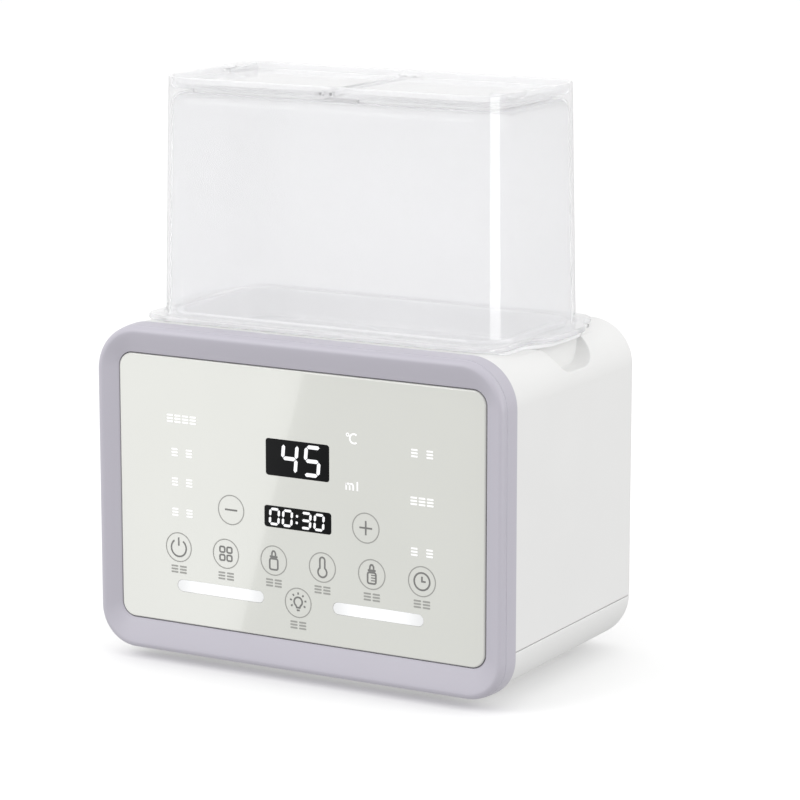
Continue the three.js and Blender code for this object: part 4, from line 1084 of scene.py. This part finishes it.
CARRIED = {
    "temperature_led_module": BLACK, "timer_led_module": BLACK, "night_light_leds_left": BOARD,
    "night_light_leds_right": BOARD, "control_board": BOARD, "board_carrier": WHITE, "buzzer": BLACK,
    "tank_gasket": SILICONE, "plate_seal": SILICONE, "heater_block": ALUMINIUM, "heater_clamp": STEEL,
    "thermistor": STEEL, "thermal_fuse": SILICONE, "power_board": BOARD, "transformer": BLACK,
    "relay": BLACK, "capacitor": BLACK, "ribbon_cable": RIBBON,
}


def carried_nodes():
    """Gives each CAD node that still shows a finish in place of its plain colour."""
    for name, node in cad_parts.items():
        if node.hide_render:
            continue
        finish_for = CARRIED.get(name)
        if finish_for is None:
            finish_for = FOAM if name.startswith("touch_pad") else STEEL
        node.data.materials.clear()
        node.data.materials.append(finish_for)


# ---------- camera, floor and lights ----------

def camera():
    """Long lens, a little above and to the right of the front."""
    middle = (cad_low + cad_high) / 2
    azimuth, elevation = 0.515, 0.201
    distance, aim_right, aim_down = 1403.4, 12.8, 13.35
    back = Vector((math.sin(azimuth) * math.cos(elevation), -math.cos(azimuth) * math.cos(elevation),
                   math.sin(elevation)))
    right = Vector((math.cos(azimuth), math.sin(azimuth), 0))
    up = back.cross(right)
    aim = middle + right * aim_right * MM - up * aim_down * MM
    data = bpy.data.cameras.new("camera")
    data.lens = 153.4
    data.sensor_width = 36
    data.clip_start = 0.05
    eye = bpy.data.objects.new("camera", data)
    eye.location = aim + back * distance * MM
    eye.rotation_mode = "QUATERNION"
    eye.rotation_quaternion = back.to_track_quat("Z", "Y")
    bpy.context.scene.collection.objects.link(eye)
    bpy.context.scene.camera = eye


def area_light(name, place, aim, width, height, power):
    data = bpy.data.lights.new(name, "AREA")
    data.shape = "RECTANGLE"
    data.size, data.size_y = width, height
    data.energy = power
    light = bpy.data.objects.new(name, data)
    light.location = place
    light.rotation_mode = "QUATERNION"
    light.rotation_quaternion = (Vector(place) - Vector(aim)).to_track_quat("Z", "Y")
    light.visible_camera = False
    bpy.context.scene.collection.objects.link(light)
    return light


def studio_world():
    """Soft surround: bright overhead, dimmer near the floor, and a little brighter on the left."""
    world = bpy.data.worlds.new("studio")
    world.use_nodes = True
    nodes, links = world.node_tree.nodes, world.node_tree.links
    nodes["Background"].inputs["Color"].default_value = (1, 1, 1, 1)
    where = nodes.new("ShaderNodeTexCoord")
    axes = nodes.new("ShaderNodeSeparateXYZ")
    links.new(where.outputs["Generated"], axes.inputs["Vector"])
    rise = nodes.new("ShaderNodeMapRange")
    for socket, value in (("From Min", -0.35), ("From Max", 0.5), ("To Min", 0.66), ("To Max", 1.03)):
        rise.inputs[socket].default_value = value
    links.new(axes.outputs["Z"], rise.inputs["Value"])
    side = nodes.new("ShaderNodeMapRange")
    for socket, value in (("From Min", -1), ("From Max", 1), ("To Min", 1.08), ("To Max", 0.92)):
        side.inputs[socket].default_value = value
    links.new(axes.outputs["X"], side.inputs["Value"])
    strength = nodes.new("ShaderNodeMath")
    strength.operation = "MULTIPLY"
    links.new(rise.outputs["Result"], strength.inputs[0])
    links.new(side.outputs["Result"], strength.inputs[1])
    links.new(strength.outputs["Value"], nodes["Background"].inputs["Strength"])
    bpy.context.scene.world = world


def card(name, place, aim, width, height, radiance, turn=0.0):
    """Lit card that only shows in reflections, turned about its own axis."""
    power = radiance * math.pi * width * height
    light = area_light(name, place, aim, width, height, power)
    light.rotation_quaternion = light.rotation_quaternion @ Quaternion((0, 0, 1), turn)
    light.visible_diffuse = False
    light.visible_transmission = False


def panel_card():
    """Card whose right edge is mirrored in the panel as a slanting line left of the middle."""
    eye = bpy.context.scene.camera.location
    distance = 0.9
    line = ((2.5, PANEL_HIGH[2] - 2), (-11, PANEL_HIGH[2] - 51))
    seen = []
    for x, z in line:
        point = Vector((x, PANEL_Y, z)) * MM
        ray = point - eye
        ray.y = -ray.y
        seen.append(point + ray * (distance / -ray.y))
    along = (seen[0] - seen[1]).normalized()
    leftward = Vector((-along.z, 0, along.x))
    width, height, radiance = 0.34, 1.2, 1.45
    above_panel = 0.02
    place = seen[0] + along * (above_panel - height / 2) + leftward * width / 2
    lean = math.atan2(along.x, along.z)
    card("panel_card", place, place + Vector((0, 1, 0)), width, height, radiance, -lean)


def stage():
    """Pale floor, soft world, two lamps and the cards that show in the panel and the lid."""
    bm = bmesh.new()
    bmesh.ops.create_grid(bm, x_segments=8, y_segments=8, size=8)
    floor = make(bm)
    floor.name = "floor"
    floor.location.z = cad_low.z - 0.0002
    paper = finish("floor_paper", rgb("FFFFFF"), 0.9, grain=300, relief=0.05, tint=0.004)
    floor.data.materials.append(paper)
    floor.visible_diffuse = False
    floor.visible_glossy = False
    studio_world()
    bpy.context.scene.view_settings.view_transform = "Standard"

    target = (0, 0, 0.12)
    area_light("key", (-0.55, -0.85, 0.75), target, width=0.7, height=0.7, power=3.6)
    area_light("fill", (1.5, 0.1, 0.7), target, width=1.2, height=1.2, power=6)
    panel_card()
    card("lid_card", (0.615, -0.302, 0.133), (0.08, -0.03, 0.133), width=0.34, height=0.175,
         radiance=5.5)


camera()
stage()
front_ring()
control_panel()
windows_and_lights()
key_marks()
captions()
unit_marks()
digits()
housing()
base()
feet()
screws_below()
inlet()
water_tank()
heating_dish()
basket()
lid()
flaps()
carried_nodes()
